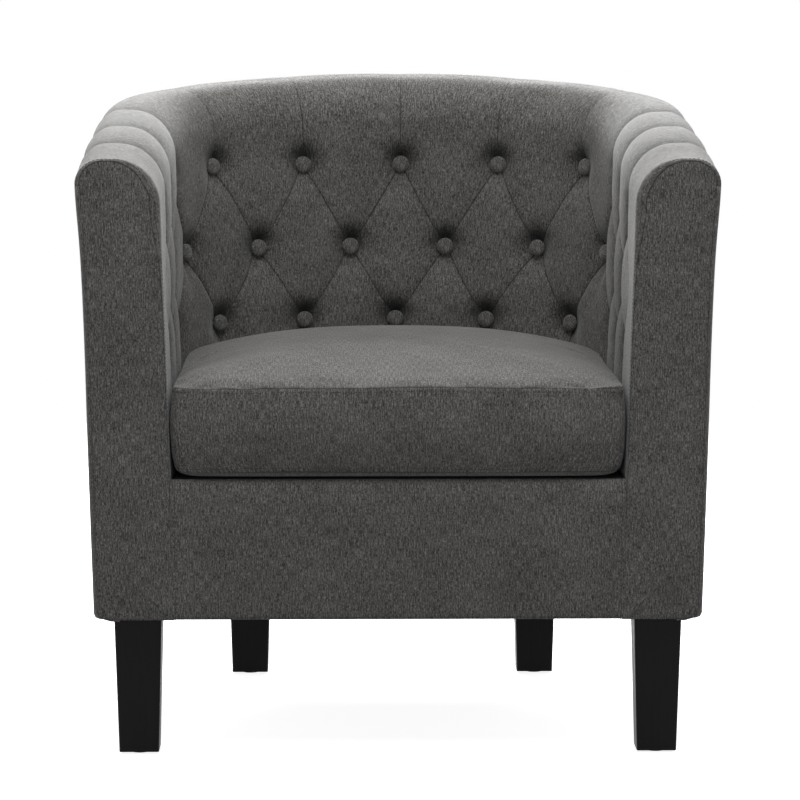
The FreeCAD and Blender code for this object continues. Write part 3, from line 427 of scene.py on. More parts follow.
MELANGE = make_melange_weave()
WOOD_GRAIN = make_wood_grain()
MOTTLE = make_fine_mottle()


def finish_of(name, group, place, values, bump, bump_depth, plain):
    """A material from a shader group: place is UV or Object, values feed the group, plain the shader."""
    material = bpy.data.materials.new(name)
    material.use_nodes = True
    tree = material.node_tree
    shader = tree.nodes["Principled BSDF"]
    w = Wiring(tree)
    where = w.put("ShaderNodeTexCoord").outputs[place]
    node = tree.nodes.new("ShaderNodeGroup")
    node.node_tree = group
    w.feed(node.inputs[0], where)
    for key, value in values.items():
        w.feed(node.inputs[key], value)
    bumps = w.put("ShaderNodeBump", None, Strength=bump, Distance=bump_depth, Height=node.outputs["Height"])
    w.feed(shader.inputs["Base Color"], node.outputs["Color"])
    w.feed(shader.inputs["Roughness"], node.outputs["Roughness"])
    w.feed(shader.inputs["Normal"], bumps.outputs["Normal"])
    for key, value in plain.items():
        shader.inputs[key].default_value = value
    return material, node, w


WARM_BLUE = 1.6


def grey(value, warm=0.0):
    """A grey, or one with a little more red and less blue."""
    return (value * (1 + warm), value, value * (1 - WARM_BLUE * warm), 1.0)


# The chair's cloth, with painted shade along folds and seams and in the pocket above each button
FOLD_POWER = 3.0
# Strengths of the painted shade along folds and seams, and of the painted shade above the buttons
FOLD_SHADE = 0.85
POCKET_SHADE = 0.90
LINEN_TONES = {"Dark": grey(0.030, 0.02), "Middle": grey(0.118, 0.028), "Light": grey(0.30, 0.035)}
linen, linen_weave, linen_wiring = finish_of(
    "linen_melange", MELANGE, "UV", {**LINEN_TONES, "Spread": 1.5, "Yarn": 0.00068}, 0.5, 0.0006,
    {"Sheen Weight": 0.30, "Sheen Roughness": 0.4, "Specular IOR Level": 0.25})
# Painted shade: the fold attribute darkens the colour along folds and seams, the pocket attribute above each
# button
fold_shade_attribute = linen_wiring.put("ShaderNodeAttribute", {"attribute_name": "fold"})
fold_shade_line = linen_wiring.math("POWER", fold_shade_attribute.outputs["Fac"], FOLD_POWER)
painted_fold_shade = linen_wiring.math("MULTIPLY", fold_shade_line, FOLD_SHADE)
pocket_shade_attribute = linen_wiring.put("ShaderNodeAttribute", {"attribute_name": "pocket"})
painted_pocket_shade = linen_wiring.math("MULTIPLY", pocket_shade_attribute.outputs["Fac"], POCKET_SHADE)
linen_wiring.feed(linen_weave.inputs["Painted Shade"], linen_wiring.math("MAXIMUM", painted_fold_shade, painted_pocket_shade))

# Other finishes: group, scale of its spots, dark and light, roughness from and to, bump and its depth, shader
PLAIN_FINISHES = {
    "linen_thread": (MOTTLE, 900.0, grey(0.03), grey(0.07), 0.6, 0.8, 0.3, 0.0002,
                     {"Specular IOR Level": 0.3}),
    "black_lacquer": (WOOD_GRAIN, None, grey(0.004), grey(0.007), 0.34, 0.46, 0.12, 0.0003,
                      {"Specular IOR Level": 0.08}),
    "birch_ply": (WOOD_GRAIN, None, (0.44, 0.29, 0.15, 1), (0.66, 0.48, 0.29, 1), 0.6, 0.75, 0.2, 0.0004, {}),
    "planed_hardwood": (WOOD_GRAIN, None, (0.36, 0.22, 0.10, 1), (0.60, 0.42, 0.24, 1), 0.55, 0.7, 0.2,
                        0.0004, {}),
    "fibreboard": (MOTTLE, 500.0, (0.26, 0.17, 0.10, 1), (0.40, 0.28, 0.17, 1), 0.7, 0.85, 0.2, 0.0003, {}),
    "open_foam": (MOTTLE, 900.0, (0.66, 0.60, 0.45, 1), (0.84, 0.80, 0.66, 1), 0.9, 1.0, 0.5, 0.0008, {}),
    "plated_steel": (MOTTLE, 300.0, grey(0.42), grey(0.6), 0.28, 0.42, 0.05, 0.0002, {"Metallic": 1.0}),
    "needled_felt": (MOTTLE, 700.0, grey(0.22), grey(0.46), 0.9, 1.0, 0.6, 0.001, {}),
    "spun_cloth": (MOTTLE, 1200.0, grey(0.008), grey(0.02), 0.75, 0.9, 0.4, 0.0003,
                   {"Specular IOR Level": 0.3}),
    "waxed_twine": (MOTTLE, 1500.0, (0.56, 0.50, 0.38, 1), (0.76, 0.71, 0.60, 1), 0.5, 0.7, 0.3, 0.0003, {}),
    "black_nylon": (MOTTLE, 1500.0, grey(0.018), grey(0.03), 0.42, 0.55, 0.1, 0.0002, {}),
}
finishes = {}
for name, (group, scale, dark, light, rough_low, rough_high, bump, deep, plain) in PLAIN_FINISHES.items():
    values = {"Dark": dark, "Light": light, "Rough Low": rough_low, "Rough High": rough_high}
    if scale:
        values["Scale"] = scale
    finishes[name], _, _ = finish_of(name, group, "Object", values, bump, deep, plain)
LINING_TONES = {"Dark": grey(0.012), "Middle": grey(0.02), "Light": grey(0.04)}
lining_cloth, _, _ = finish_of(
    "lining_cloth", MELANGE, "UV", {**LINING_TONES, "Yarn": 0.0009}, 0.4, 0.0004,
    {"Specular IOR Level": 0.25})
thread = finishes["linen_thread"]
plated_steel = finishes["plated_steel"]

# Carried-over CAD nodes by finish
NODE_FINISHES = {
    "black_lacquer": ["front_left_leg", "front_right_leg", "rear_left_leg", "rear_right_leg"],
    "black_nylon": ["leg_glides", "twine_toggles"],
    "birch_ply": ["base_rail", "side_rail_left", "side_rail_right", "back_rail", "top_rail", "arm_post_left",
                  "arm_post_right"],
    "planed_hardwood": ["front_rail", "leg_blocks", "side_post_left", "side_post_right", "corner_post_left",
                        "corner_post_right", "back_post_left", "back_post_right", "back_post_middle"],
    "fibreboard": ["outer_liner", "inner_liner"],
    "open_foam": ["back_foam", "top_roll_foam"],
    "plated_steel": ["hanger_bolts", "tee_nuts", "sinuous_springs", "spring_clips"],
    "needled_felt": ["seat_felt"],
    "waxed_twine": ["button_twine"],
}
for finish, nodes in NODE_FINISHES.items():
    for node in nodes:
        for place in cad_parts[node].material_slots:
            place.material = finishes[finish]

# Tufting: how deep the cloth is drawn in at buttons, folds and pleats, and where painted shade darkens it
FINE = 48
FOOT_STEPS = 82
FOOT_DROP = 0.208
BAND_ROWS = 12
ROLL_ROWS = 18
CREST_ROWS = 3
OUTER_ROWS = 10
PILLOW_BACK = 0.0010
PILLOW_ARM = 0.0070
FOLD_DEPTH = 0.0014
FOLD_WIDTH = 0.0030
DIAGONAL_RUN = 0.1035
POCKET_SLOPES = [0.60, 0.80, 0.80]
POCKET_REACH = 0.027
POCKET_SOFT = 0.005
POCKET_ARM = 0.60
POCKET_BELOW = 0.62
# Widths of the painted shade above the buttons of each row, and its rise and height above a button
SHADE_SPREADS = [0.020, 0.017, 0.018]
SHADE_RISE = 0.013
SHADE_TALL = 0.0165
PAD_DEPTH = 0.0195
PLEAT_BACK = 0.0016
PLEAT_ARM = 0.0038
ARM_PUFF = 0.0028
PLEAT_CREASE = 0.3
PUFF_FADE = 0.8
# Width of the painted shade along a fold line, and how much of it fades over the roll on the back and on the
# arms
FOLD_LINE = 0.0008
LINE_FADE_BACK = 0.08
LINE_FADE_ARM = 0.35
FRONT_FADE = 0.75
ARM_FROM = 1.7
ARM_BLEND = 1.3
WRINKLE = 0.0005
WRINKLE_RING = 0.019
WRINKLE_WIDE = 0.010
WRINKLE_TURN = 1.3
WRINKLE_COUNT = 11
WRINKLE_SHIFT = 2.1
ROLL_THIN = 0.35
LINE_THIN = 0.25


def button_rows():
    """Row number rho and the columns of each row of buttons."""
    whole = np.arange(-LAST_COLUMN, LAST_COLUMN + 1, dtype=float)
    between = whole[:-1] + 0.5
    return [(0.0, whole), (0.5, between), (1.0, whole)]


def row_level(rho, column):
    """Height of a row of the pattern at a column, between the top and bottom buttons."""
    sag = (TOP_ROW + BOTTOM_ROW) / 2 - MIDDLE_ROW
    return top_row_height(column) * (1 - rho) + BOTTOM_ROW * rho - 4 * sag * rho * (1 - rho)


def pocket(away, slope):
    """Depth of a button's pocket at a distance from it: a cone with a soft rim."""
    return slope * POCKET_SOFT * np.log1p(np.exp((POCKET_REACH - away) / POCKET_SOFT))


def draw_in(column, rho, height, roll):
    """Depth of the tufted face, and marks of painted shade along its folds and above each button.

    Roll runs from 0 at the top buttons to 1 on the roll.
    """
    held = np.clip(rho, 0, 1)
    up_folds, down_folds = column + held, column - held
    off_up = np.abs(up_folds - np.round(up_folds)) * DIAGONAL_RUN
    off_down = np.abs(down_folds - np.round(down_folds)) * DIAGONAL_RUN
    fold = 1 - (1 - np.exp(-off_up / FOLD_WIDTH)) * (1 - np.exp(-off_down / FOLD_WIDTH))
    swell = np.sqrt(np.abs(np.sin(PI * up_folds) * np.sin(PI * down_folds)))
    arm = smooth((np.abs(column) - ARM_FROM) / ARM_BLEND)
    tuft = (PILLOW_BACK + (PILLOW_ARM - PILLOW_BACK) * arm) * (1 - swell) + FOLD_DEPTH * fold
    pitch = pitch_at(height)
    dent = np.zeros_like(tuft)
    pocket_shade_mask = np.zeros_like(tuft)
    wrinkle = np.zeros_like(tuft)
    for (rho_row, columns), slope, spread in zip(button_rows(), POCKET_SLOPES, SHADE_SPREADS):
        shift = columns[0] - np.floor(columns[0])
        nearest = np.clip(np.round(column - shift) + shift, columns[0], columns[-1])
        across = (column - nearest) * pitch
        up = height - row_level(rho_row, nearest)
        away = np.hypot(across, np.where(up < 0, POCKET_BELOW * up, up))
        dent = np.maximum(dent, pocket(away, slope))
        # Painted shade: a soft dark patch just above each button, where its pocket lies in shade
        pocket_shade_mask = np.maximum(pocket_shade_mask, np.exp(-(across / spread) ** 2 - ((up - SHADE_RISE) / SHADE_TALL) ** 2))
        angle = np.arctan2(across, -up)
        ring = np.exp(-((away - WRINKLE_RING) / WRINKLE_WIDE) ** 2)
        ring = ring * np.clip(WRINKLE_TURN - np.abs(angle), 0, 1)
        wrinkle += ring * np.cos(WRINKLE_COUNT * angle + WRINKLE_SHIFT * nearest)
    pleat = PLEAT_CREASE * fold + (1 - PLEAT_CREASE) * (1 - swell)
    pleat = (PLEAT_BACK + (PLEAT_ARM - PLEAT_BACK) * arm) * pleat
    dent = dent * (1 + (POCKET_ARM - 1) * arm)
    puff = ARM_PUFF * arm * swell * (1 - smooth(rho / PUFF_FADE))
    body = tuft * (1 - roll) + pleat * roll + dent + WRINKLE * wrinkle - puff
    keep = 1 - smooth((np.abs(column) - LAST_COLUMN) / FRONT_FADE)
    # Painted shade along the fold lines, fading over the roll and towards the arm fronts
    line = np.exp(-np.minimum(off_up, off_down) / FOLD_LINE)
    mark = line * (1 - (LINE_FADE_BACK + LINE_FADE_ARM * arm) * roll) * keep
    return np.minimum(body * keep, PAD_DEPTH), np.stack([mark, pocket_shade_mask * keep], -1)


# Seam between the arm's front panel and the cloth that wraps round to it, as a distance from the arm's edge
SEAM_HEIGHTS = [0.30, 0.47, 0.521, 0.565, 0.609, 0.650]
SEAM_DISTANCES = [0.0010, 0.0010, 0.0016, 0.004, 0.011, 0.012]
SEAM_TOP = 0.0035
SEAM_OUTSIDE = 0.0055
WRAP_ROUND = 0.012
SEAM_SINK = 0.0012
STITCH_FROM_SEAM = 0.0055
WRAP_STOPS = [0.0, 0.0010, 0.0024, STITCH_FROM_SEAM, 0.0085]
WRAP_EXTRA = 5
WRAP_TURNS = 25
WRAP_FLATS = 7
SEAM_SHOULDER = 0.15
# Faint painted shade beside the arm front's seam
SEAM_HALO = 0.05
SEAM_ARCH = [0, 0.33, 1]


def wrap_curve(seam):
    """Round an arm's front edge: distances in from the edge and places along Y, from the side to the seam."""
    seam = np.asarray(seam, float)[:, None]
    turn = np.linspace(0, PI / 2, WRAP_TURNS)[None, :]
    corner = np.minimum(seam, WRAP_ROUND)
    inward = corner * (1 - np.cos(turn))
    ahead = np.repeat(PANEL_BACK + (FRONT - PANEL_BACK) * np.sin(turn), len(seam), 0)
    flat = np.linspace(0, 1, WRAP_FLATS)[None, 1:]
    inward = np.hstack([inward, corner + (seam - corner) * flat])
    ahead = np.hstack([ahead, np.full((seam.shape[0], flat.shape[1]), FRONT)])
    length = np.hypot(np.diff(inward, axis=1), np.diff(ahead, axis=1)).cumsum(1)
    length = np.hstack([np.zeros((seam.shape[0], 1)), length])
    stops_in, stops_y, stops_run = [], [], []
    for row in range(seam.shape[0]):
        total = length[row, -1]
        from_end = np.array(WRAP_STOPS)
        rest = np.linspace(total, from_end[-1], WRAP_EXTRA + 1)[1:-1]
        runs = np.concatenate([total - rest, total - from_end[::-1]])
        stops_in.append(np.interp(runs, length[row], inward[row]))
        stops_y.append(np.interp(runs, length[row], ahead[row]))
        stops_run.append(runs)
    stops_in, stops_y, stops_run = np.array(stops_in), np.array(stops_y), np.array(stops_run)
    stops_y[:, -1] += SEAM_SINK
    stops_y[:, -2] += SEAM_SHOULDER * SEAM_SINK
    return stops_in, stops_y, stops_run


def roll_rows():
    """Insets, drops and outward directions of the rows that go over the roll, from its inner side."""
    flat = CROWN - INNER_ROLL
    rows = []
    for step in range(1, ROLL_ROWS + 1):
        turn = PI / 2 * step / ROLL_ROWS
        rows.append((flat + INNER_ROLL * math.cos(turn), INNER_ROLL * (math.sin(turn) - 1),
                     math.cos(turn), math.sin(turn)))
    for step in range(1, CREST_ROWS + 1):
        rows.append((flat + (OUTER_ROLL - flat) * step / CREST_ROWS, 0.0, 0.0, 1.0))
    for step in range(1, OUTER_ROWS + 1):
        turn = PI / 2 * step / OUTER_ROWS
        rows.append((OUTER_ROLL * (1 - math.sin(turn)), OUTER_ROLL * (math.cos(turn) - 1),
                     -math.sin(turn), math.cos(turn)))
    return np.array(rows)


# Insets and drops of the lip under the roll, and the inset of the liner that the pad lies on
LIP = [(0.0035, -0.0325), (0.0197, -0.0105), (0.0520, -0.0105), (0.0523, -0.0278), (0.0692, -0.0278)]
LINER_FACE = 0.0692


class TuftGrid:
    """Rows and columns of the tufted cover, from its foot up over the roll."""

    def __init__(self):
        self.columns = np.arange(-(LAST_COLUMN + 1) * FINE, (LAST_COLUMN + 1) * FINE + 1) / FINE
        self.steps = np.arange(FOOT_STEPS, -1, -1)
        self.roll = roll_rows()
        self.face_rows = len(self.steps) + BAND_ROWS
        self.shown_rows = self.face_rows + len(self.roll)

    def points(self, columns, extra=None):
        """Points at columns, drawn in by the tufts, or by an extra depth per shown row."""
        columns = np.asarray(columns, float)
        rho = (self.steps / FINE)[:, None]
        below = BOTTOM_ROW - (rho - 1) * FOOT_DROP
        level = np.where(rho <= 1, row_level(np.minimum(rho, 1), columns), below)
        top = row_level(0.0, columns)
        _, _, spring = under_crest(columns, CROWN, -INNER_ROLL)
        share = (np.arange(1, BAND_ROWS + 1) / BAND_ROWS)[:, None]
        height = np.vstack([level, top + share * (spring - top)])
        band = np.broadcast_to(share, (BAND_ROWS, len(columns)))
        rho_all = np.vstack([np.broadcast_to(rho, level.shape), -band])
        roll = np.where(rho_all < 0, smooth(-rho_all), 0.0)
        depth, mark = draw_in(np.broadcast_to(columns, height.shape), rho_all, height, roll)
        crest_columns = np.broadcast_to(columns, (len(self.roll), len(columns)))
        rim = np.broadcast_to(spring, crest_columns.shape)
        whole = np.ones(crest_columns.shape)
        over, over_mark = draw_in(crest_columns, -whole, rim, whole)
        # The marks of painted shade thin out over the roll with its pleats
        thin = np.linspace(1.0, ROLL_THIN, len(self.roll))[:, None]
        over, over_mark = over * thin, over_mark * thin[..., None] ** LINE_THIN
        if extra is not None:
            depth = np.broadcast_to(extra[:self.face_rows, None], height.shape)
            over = np.broadcast_to(extra[self.face_rows:, None], crest_columns.shape)
        x, y = wall(column_run(columns, height), CROWN - depth, height)
        inset = self.roll[:, :1] - over * self.roll[:, 2:3]
        drop = self.roll[:, 1:2] - over * self.roll[:, 3:4]
        roll_x, roll_y, roll_z = under_crest(crest_columns, inset, drop)
        place = np.stack([np.vstack([x, roll_x]), np.vstack([y, roll_y]), np.vstack([height, roll_z])], -1)
        return place, np.vstack([mark, over_mark])

    def seam(self):
        """Distance of the front seam from the arm's edge at each shown row."""
        end = np.array([self.columns[-1]])
        place, _ = self.points(end, np.zeros(self.shown_rows))
        face = np.interp(place[:self.face_rows, 0, 2], SEAM_HEIGHTS, SEAM_DISTANCES)
        inner = np.interp(np.linspace(0, 1, ROLL_ROWS), SEAM_ARCH, SEAM_DISTANCES[-2:] + [SEAM_TOP])
        crest_part = np.full(CREST_ROWS, SEAM_TOP)
        outer = np.linspace(SEAM_TOP, SEAM_OUTSIDE, OUTER_ROWS)
        return np.concatenate([face, inner, crest_part, outer])

    def front_end(self, side):
        """Points round an arm's front, one row of stops for each shown row, and the lengths run."""
        inward, ahead, run = wrap_curve(self.seam())
        place = np.zeros((self.shown_rows, inward.shape[1], 3))
        for stop in range(inward.shape[1]):
            end, _ = self.points(np.array([side * self.columns[-1]]), inward[:, stop])
            place[:, stop] = end[:, 0]
            place[:, stop, 1] = ahead[:, stop]
        return place, run

    def hidden(self):
        """The lip under the roll and the flat back of the pad."""
        rows = []
        for inset, drop in LIP:
            rows.append(np.stack(under_crest(self.columns, inset, drop, sag=0.0), -1))
        foot = BOTTOM_ROW - (FOOT_STEPS / FINE - 1) * FOOT_DROP
        height = np.full(self.columns.shape, foot)
        x, y = wall(column_run(self.columns, height), LINER_FACE, height)
        rows.append(np.stack([x, y, height], -1))
        return np.stack(rows)


tuft = TuftGrid()


def make_tufted_cover():
    """The tufted inside cloth with its roll, wrapped round both arm fronts to their seams."""
    shown, mark = tuft.points(tuft.columns)
    hidden = tuft.hidden()
    left, left_run = tuft.front_end(-1)
    right, right_run = tuft.front_end(1)
    rows, count = shown.shape[:2]
    stops = left.shape[1]
    flow = np.linalg.norm(np.diff(shown, axis=0), axis=2).cumsum(0)
    up = np.vstack([np.zeros((1, count)), flow]) + shown[0, 0, 2]
    middle = column_run(tuft.columns, (TOP_ROW + BOTTOM_ROW) / 2)
    across = np.broadcast_to(middle, (rows, count))
    points = np.concatenate([part.reshape(-1, 3) for part in (shown, hidden, left, right)])
    hidden_uv = np.stack([np.broadcast_to(middle, hidden.shape[:2]), hidden[..., 2]], -1)
    left_uv = np.stack([across[:, :1] - left_run, np.broadcast_to(up[:, :1], left_run.shape)], -1)
    right_uv = np.stack([across[:, -1:] + right_run, np.broadcast_to(up[:, -1:], right_run.shape)], -1)
    main_uv = np.stack([across, up], -1)
    uv = np.concatenate([part.reshape(-1, 2) for part in (main_uv, hidden_uv, left_uv, right_uv)])
    rest = np.zeros(len(points) - rows * count)
    # Painted shade: the fold and pocket marks of the tufts, full on the arm fronts' seams and faint beside them
    folds = np.concatenate([mark[..., 0].ravel(), rest])
    pocket_shades = np.concatenate([mark[..., 1].ravel(), rest])
    seam_mark = folds[rows * count + hidden.shape[0] * count:].reshape(2, rows, stops)
    seam_mark[:, :, -1] = 1.0
    seam_mark[:, :, -2] = SEAM_HALO
    main = np.arange(rows * count).reshape(rows, count)
    start = rows * count
    back = np.arange(start, start + hidden.shape[0] * count).reshape(-1, count)
    start += back.size
    left_index = np.arange(start, start + rows * stops).reshape(rows, stops)
    start += left_index.size
    right_index = np.arange(start, start + rows * stops).reshape(rows, stops)
    faces = fold_faces(main)
    faces += grid_faces(np.vstack([main[-1:], back, main[:1]]))
    faces += grid_faces(np.hstack([left_index[:, ::-1], main[:, :1]]))
    faces += grid_faces(np.hstack([main[:, -1:], right_index]))
    piece = new_piece("tufted_wall", points, faces, uv, {"fold": folds, "pocket": pocket_shades})
    mark_sharp_folds(piece, main)
    close_shell(piece)
    stitch_stop = stops - 1 - WRAP_STOPS.index(STITCH_FROM_SEAM)
    return piece, [left[:, stitch_stop], right[:, stitch_stop]]


def fold_faces(index):
    """Faces of the tufted grid, cut in two along the diagonals where a fold runs."""
    faces = []
    first = len(tuft.steps) - 1
    rows, count = index.shape
    origin = (LAST_COLUMN + 1) * FINE
    for row in range(rows - 1):
        low, high = index[row], index[row + 1]
        inside = row < first and tuft.steps[row] <= FINE
        for column in range(count - 1):
            a, b, c, d = int(low[column]), int(low[column + 1]), int(high[column + 1]), int(high[column])
            if inside:
                along = column - origin
                step = int(tuft.steps[row])
                if (along + step) % FINE == 0:
                    faces += [[a, b, c], [a, c, d]]
                    continue
                if (along + 1 - step) % FINE == 0:
                    faces += [[a, b, d], [b, c, d]]
                    continue
            faces.append([a, b, c, d])
    return faces


def mark_sharp_folds(piece, index):
    """Keeps the folds between pillows crisp."""
    first = len(tuft.steps) - 1
    origin = (LAST_COLUMN + 1) * FINE
    pairs = set()
    rows, count = index.shape
    inner = LAST_COLUMN * FINE
    for row in range(rows - 1):
        step = int(tuft.steps[row]) if row < first else -1
        for column in range(count):
            along = column - origin
            if abs(along) > inner:
                continue
            if 0 < step <= FINE:
                if (along + step) % FINE == 0 and column + 1 < count:
                    pairs.add((int(index[row, column]), int(index[row + 1, column + 1])))
                if (along - step) % FINE == 0 and column > 0:
                    pairs.add((int(index[row, column]), int(index[row + 1, column - 1])))
            elif along % FINE == 0 and row < rows - OUTER_ROWS:
                pairs.add((int(index[row, column]), int(index[row + 1, column])))
    mesh = piece.data
    ends = np.zeros(len(mesh.edges) * 2, np.int64)
    mesh.edges.foreach_get("vertices", ends)
    ends = ends.reshape(-1, 2)
    sharp = [(int(a), int(b)) in pairs or (int(b), int(a)) in pairs for a, b in ends]
    mesh.attributes.new("sharp_edge", "BOOLEAN", "EDGE").data.foreach_set("value", sharp)


# Front of each arm: a padded panel inside the seam
ARM_LEG_LEVELS = np.linspace(BASE + 0.016, 0.600, 46)
ARM_CORNER = 0.014
ARCH_CLEAR = 0.004
SPINE_FOOT = 0.045
PANEL_SWELL = 0.0022
PANEL_EDGE = 0.012
PANEL_PROUD = 0.0004
PANEL_SOFT = 0.010
PANEL_MERGE = 0.0003
# Faint painted shade beside the panel's seam
PANEL_HALO = 0.20
PANEL_SHARES = (0.2, 0.4, 0.6, 0.8, 1.0)
PANEL_RINGS = [(0.0, 0.0115), (0.0, SEAM_SINK), (0.0010, 0.0007), (0.0026, 0.0001), (0.006, -0.0002),
               (PANEL_EDGE, -PANEL_PROUD)]


def seam_inset(height):
    """Distance of an arm's front seam from the arm's inner edge."""
    return np.interp(height, SEAM_HEIGHTS, SEAM_DISTANCES)


def panel_outline():
    """Seam round the right arm's front panel, and for each point the place that it closes in on."""
    levels = ARM_LEG_LEVELS
    inner = np.stack([half_width(CROWN - seam_inset(levels), levels), levels], 1)
    outer = np.stack([half_width(SEAM_OUTSIDE, levels), levels], 1)
    end, _ = tuft.points(np.array([tuft.columns[-1]]), tuft.seam())
    arch = end[:, 0][:, [0, 2]]
    arch = arch[arch[:, 1] > levels[-1] + ARCH_CLEAR]
    side = np.linspace(arch[-1, 1], levels[-1], 8)[1:-1]
    arch = np.vstack([arch, np.stack([half_width(SEAM_OUTSIDE, side), side], 1)])
    foot_x = half_width(SEAM_OUTSIDE, BASE + ARM_CORNER)
    turn = np.linspace(0, PI / 2, 8)[1:]
    corner = np.stack([foot_x - ARM_CORNER + ARM_CORNER * np.cos(turn),
                       BASE + ARM_CORNER - ARM_CORNER * np.sin(turn)], 1)
    inner_foot = half_width(CROWN - SEAM_DISTANCES[0], BASE)
    along = np.linspace(corner[-1, 0], inner_foot, 9)[1:]
    bottom = np.stack([along, np.full(along.shape, BASE)], 1)
    outline = np.vstack([inner, arch, outer[::-1], corner, bottom])
    middle_x = (inner[:, 0] + outer[:, 0]) / 2
    held = np.clip(outline[:, 1], BASE + SPINE_FOOT, levels[-1])
    level = levels[np.argmin(np.abs(held[:, None] - levels[None, :]), axis=1)]
    spine = np.stack([np.interp(level, levels, middle_x), level], 1)
    return outline, spine


def inset_loop(loop, distance):
    """A closed loop moved inwards by a distance."""
    ahead, behind = np.roll(loop, -1, 0), np.roll(loop, 1, 0)
    run = ahead - behind
    run /= np.linalg.norm(run, axis=1)[:, None]
    normal = np.stack([-run[:, 1], run[:, 0]], 1)
    area = np.sum(loop[:, 0] * ahead[:, 1] - ahead[:, 0] * loop[:, 1])
    return loop + normal * distance * np.sign(area)


def make_arm_panel(name, side):
    """A padded panel that sinks to its seam all round and swells a little in its middle."""
    outline, spine = panel_outline()
    rings, depths = [], []
    for distance, depth in PANEL_RINGS:
        rings.append(inset_loop(outline, distance) if distance else outline)
        depths.append(np.full(len(outline), FRONT + depth))
    edge = rings[-1]
    for share in PANEL_SHARES:
        ring = edge + (spine - edge) * share
        away = np.linalg.norm(ring[:, None] - outline[None, :], axis=2).min(1)
        rise = 1 - np.exp(-np.maximum(away - PANEL_EDGE, 0) / PANEL_SOFT)
        rings.append(ring)
        depths.append(FRONT - PANEL_PROUD - PANEL_SWELL * rise)
    loops = [np.stack([ring[:, 0] * side, depth, ring[:, 1]], 1) for ring, depth in zip(rings, depths)]
    points = np.concatenate(loops)
    index = np.arange(len(points)).reshape(len(loops), len(outline))
    uv = np.stack([points[:, 0], points[:, 2]], 1)
    # Painted shade along the seam ring, faint on the ring inside it
    mark = np.zeros(index.shape)
    mark[1] = 1.0
    mark[2] = PANEL_HALO
    piece = new_piece(name, points, ring_faces(index), uv, {"fold": mark.ravel()})
    close_shell(piece, PANEL_MERGE)
    return piece


# Border under the cushion, between the two arm panels
BORDER_HALF = half_width(CROWN - SEAM_DISTANCES[0], DECK) - 0.0004
BORDER_TOP = DECK - 0.001
BORDER_BACK = FRONT + 0.0118
BORDER_EDGE = 0.009
BORDER_ROLL = 0.022
BORDER_SWELL = 0.0012
BORDER_STEPS = [0.0, 0.0010, 0.0024, STITCH_FROM_SEAM, 0.010, 0.018, 0.030]
BORDER_SINKS = [SEAM_SINK, 0.35 * SEAM_SINK, 0.0001, 0.0, 0.0, 0.0, 0.0]
# Painted shade at the seam at each end, faint beside it
BORDER_MARKS = [1.0, 0.30, 0.0, 0.0, 0.0, 0.0, 0.0]
HEM_EDGE = 0.005


def make_front_border():
    """The padded border, rolled in at top and hem and sunk to a seam at each end, and its stitch lines."""
    steps = np.array(BORDER_STEPS)
    inner = np.linspace(-BORDER_HALF + steps[-1], BORDER_HALF - steps[-1], 60)[1:-1]
    plain = np.zeros(len(inner))
    x = np.concatenate([-BORDER_HALF + steps, inner, (BORDER_HALF - steps)[::-1]])
    sunk = np.concatenate([BORDER_SINKS, plain, BORDER_SINKS[::-1]])
    mark_x = np.concatenate([BORDER_MARKS, plain, BORDER_MARKS[::-1]])
    path = [(BORDER_BACK, BORDER_TOP)]
    for turn in np.linspace(0, PI / 2, 7):
        path.append((FRONT + BORDER_EDGE * (1 - math.sin(turn)),
                     BORDER_TOP - BORDER_ROLL * (1 - math.cos(turn))))
    for z in np.linspace(BORDER_TOP - BORDER_ROLL, BASE + HEM_EDGE, 26)[1:-1]:
        path.append((FRONT, z))
    for turn in np.linspace(0, PI / 2, 6):
        path.append((FRONT + HEM_EDGE * (1 - math.cos(turn)), BASE + HEM_EDGE * (1 - math.sin(turn))))
    path.append((BORDER_BACK, BASE))
    path = np.array(path)
    ahead, level = path[:, :1], path[:, 1:]
    swell = BORDER_SWELL * np.sin(np.clip((level - BASE) / (DECK - BASE), 0, 1) * PI)
    y = ahead + sunk * (ahead < FRONT + BORDER_EDGE) - np.where(ahead < FRONT + 1e-6, swell, 0) * (sunk == 0)
    across = np.broadcast_to(x, y.shape)
    points = np.stack([across, y, np.broadcast_to(level, y.shape)], -1)
    flow = np.concatenate([[0], np.hypot(*np.diff(path, axis=0).T).cumsum()])
    uv = np.stack([across, np.broadcast_to(DECK - flow[:, None], y.shape)], -1)
    faces = grid_faces(np.arange(y.size).reshape(y.shape))
    marks = {"fold": np.broadcast_to(mark_x, y.shape).ravel()}
    piece = new_piece("front_border_pad", points.reshape(-1, 3), faces, uv.reshape(-1, 2), marks)
    close_shell(piece)
    stitch = BORDER_STEPS.index(STITCH_FROM_SEAM)
    return piece, [points[2:-2, stitch], points[2:-2, -1 - stitch]]


# Outside cloth, drawn round the back and sides and turned in at the fronts, the top and the hem
OUTSIDE_SEAM = 0.315
OUTSIDE_COLUMNS = 241
OUTSIDE_ROWS = 44
OUTSIDE_THICK = 0.0014
BESIDE_SEAM = np.array([-0.0024, -0.0011, 0.0, 0.0011, 0.0024])
SEAM_GROOVE = 0.0011
GROOVE_WIDE = 0.0012
# Width of the painted shade along the seam grooves
GROOVE_LINE = 0.0009
STITCH_ASIDE = 0.006
HEM_TOP = BASE + 0.009
HEM_LEVELS = [BASE, BASE, BASE + 0.0018, BASE + 0.0060]
HEM_INSETS = [0.016, 0.0060, 0.0018, 0.0]
UNDER_ROLL = OUTER_ROLL + 0.0006
RIPPLE = 0.0005
RIPPLE_WAVES = ((9, 14), (31, -6))
MEASURED_ROW = 20
MEASURED_COLUMN = 130
ROLL_TUCK = 0.0016
TUCK_FROM = 0.985


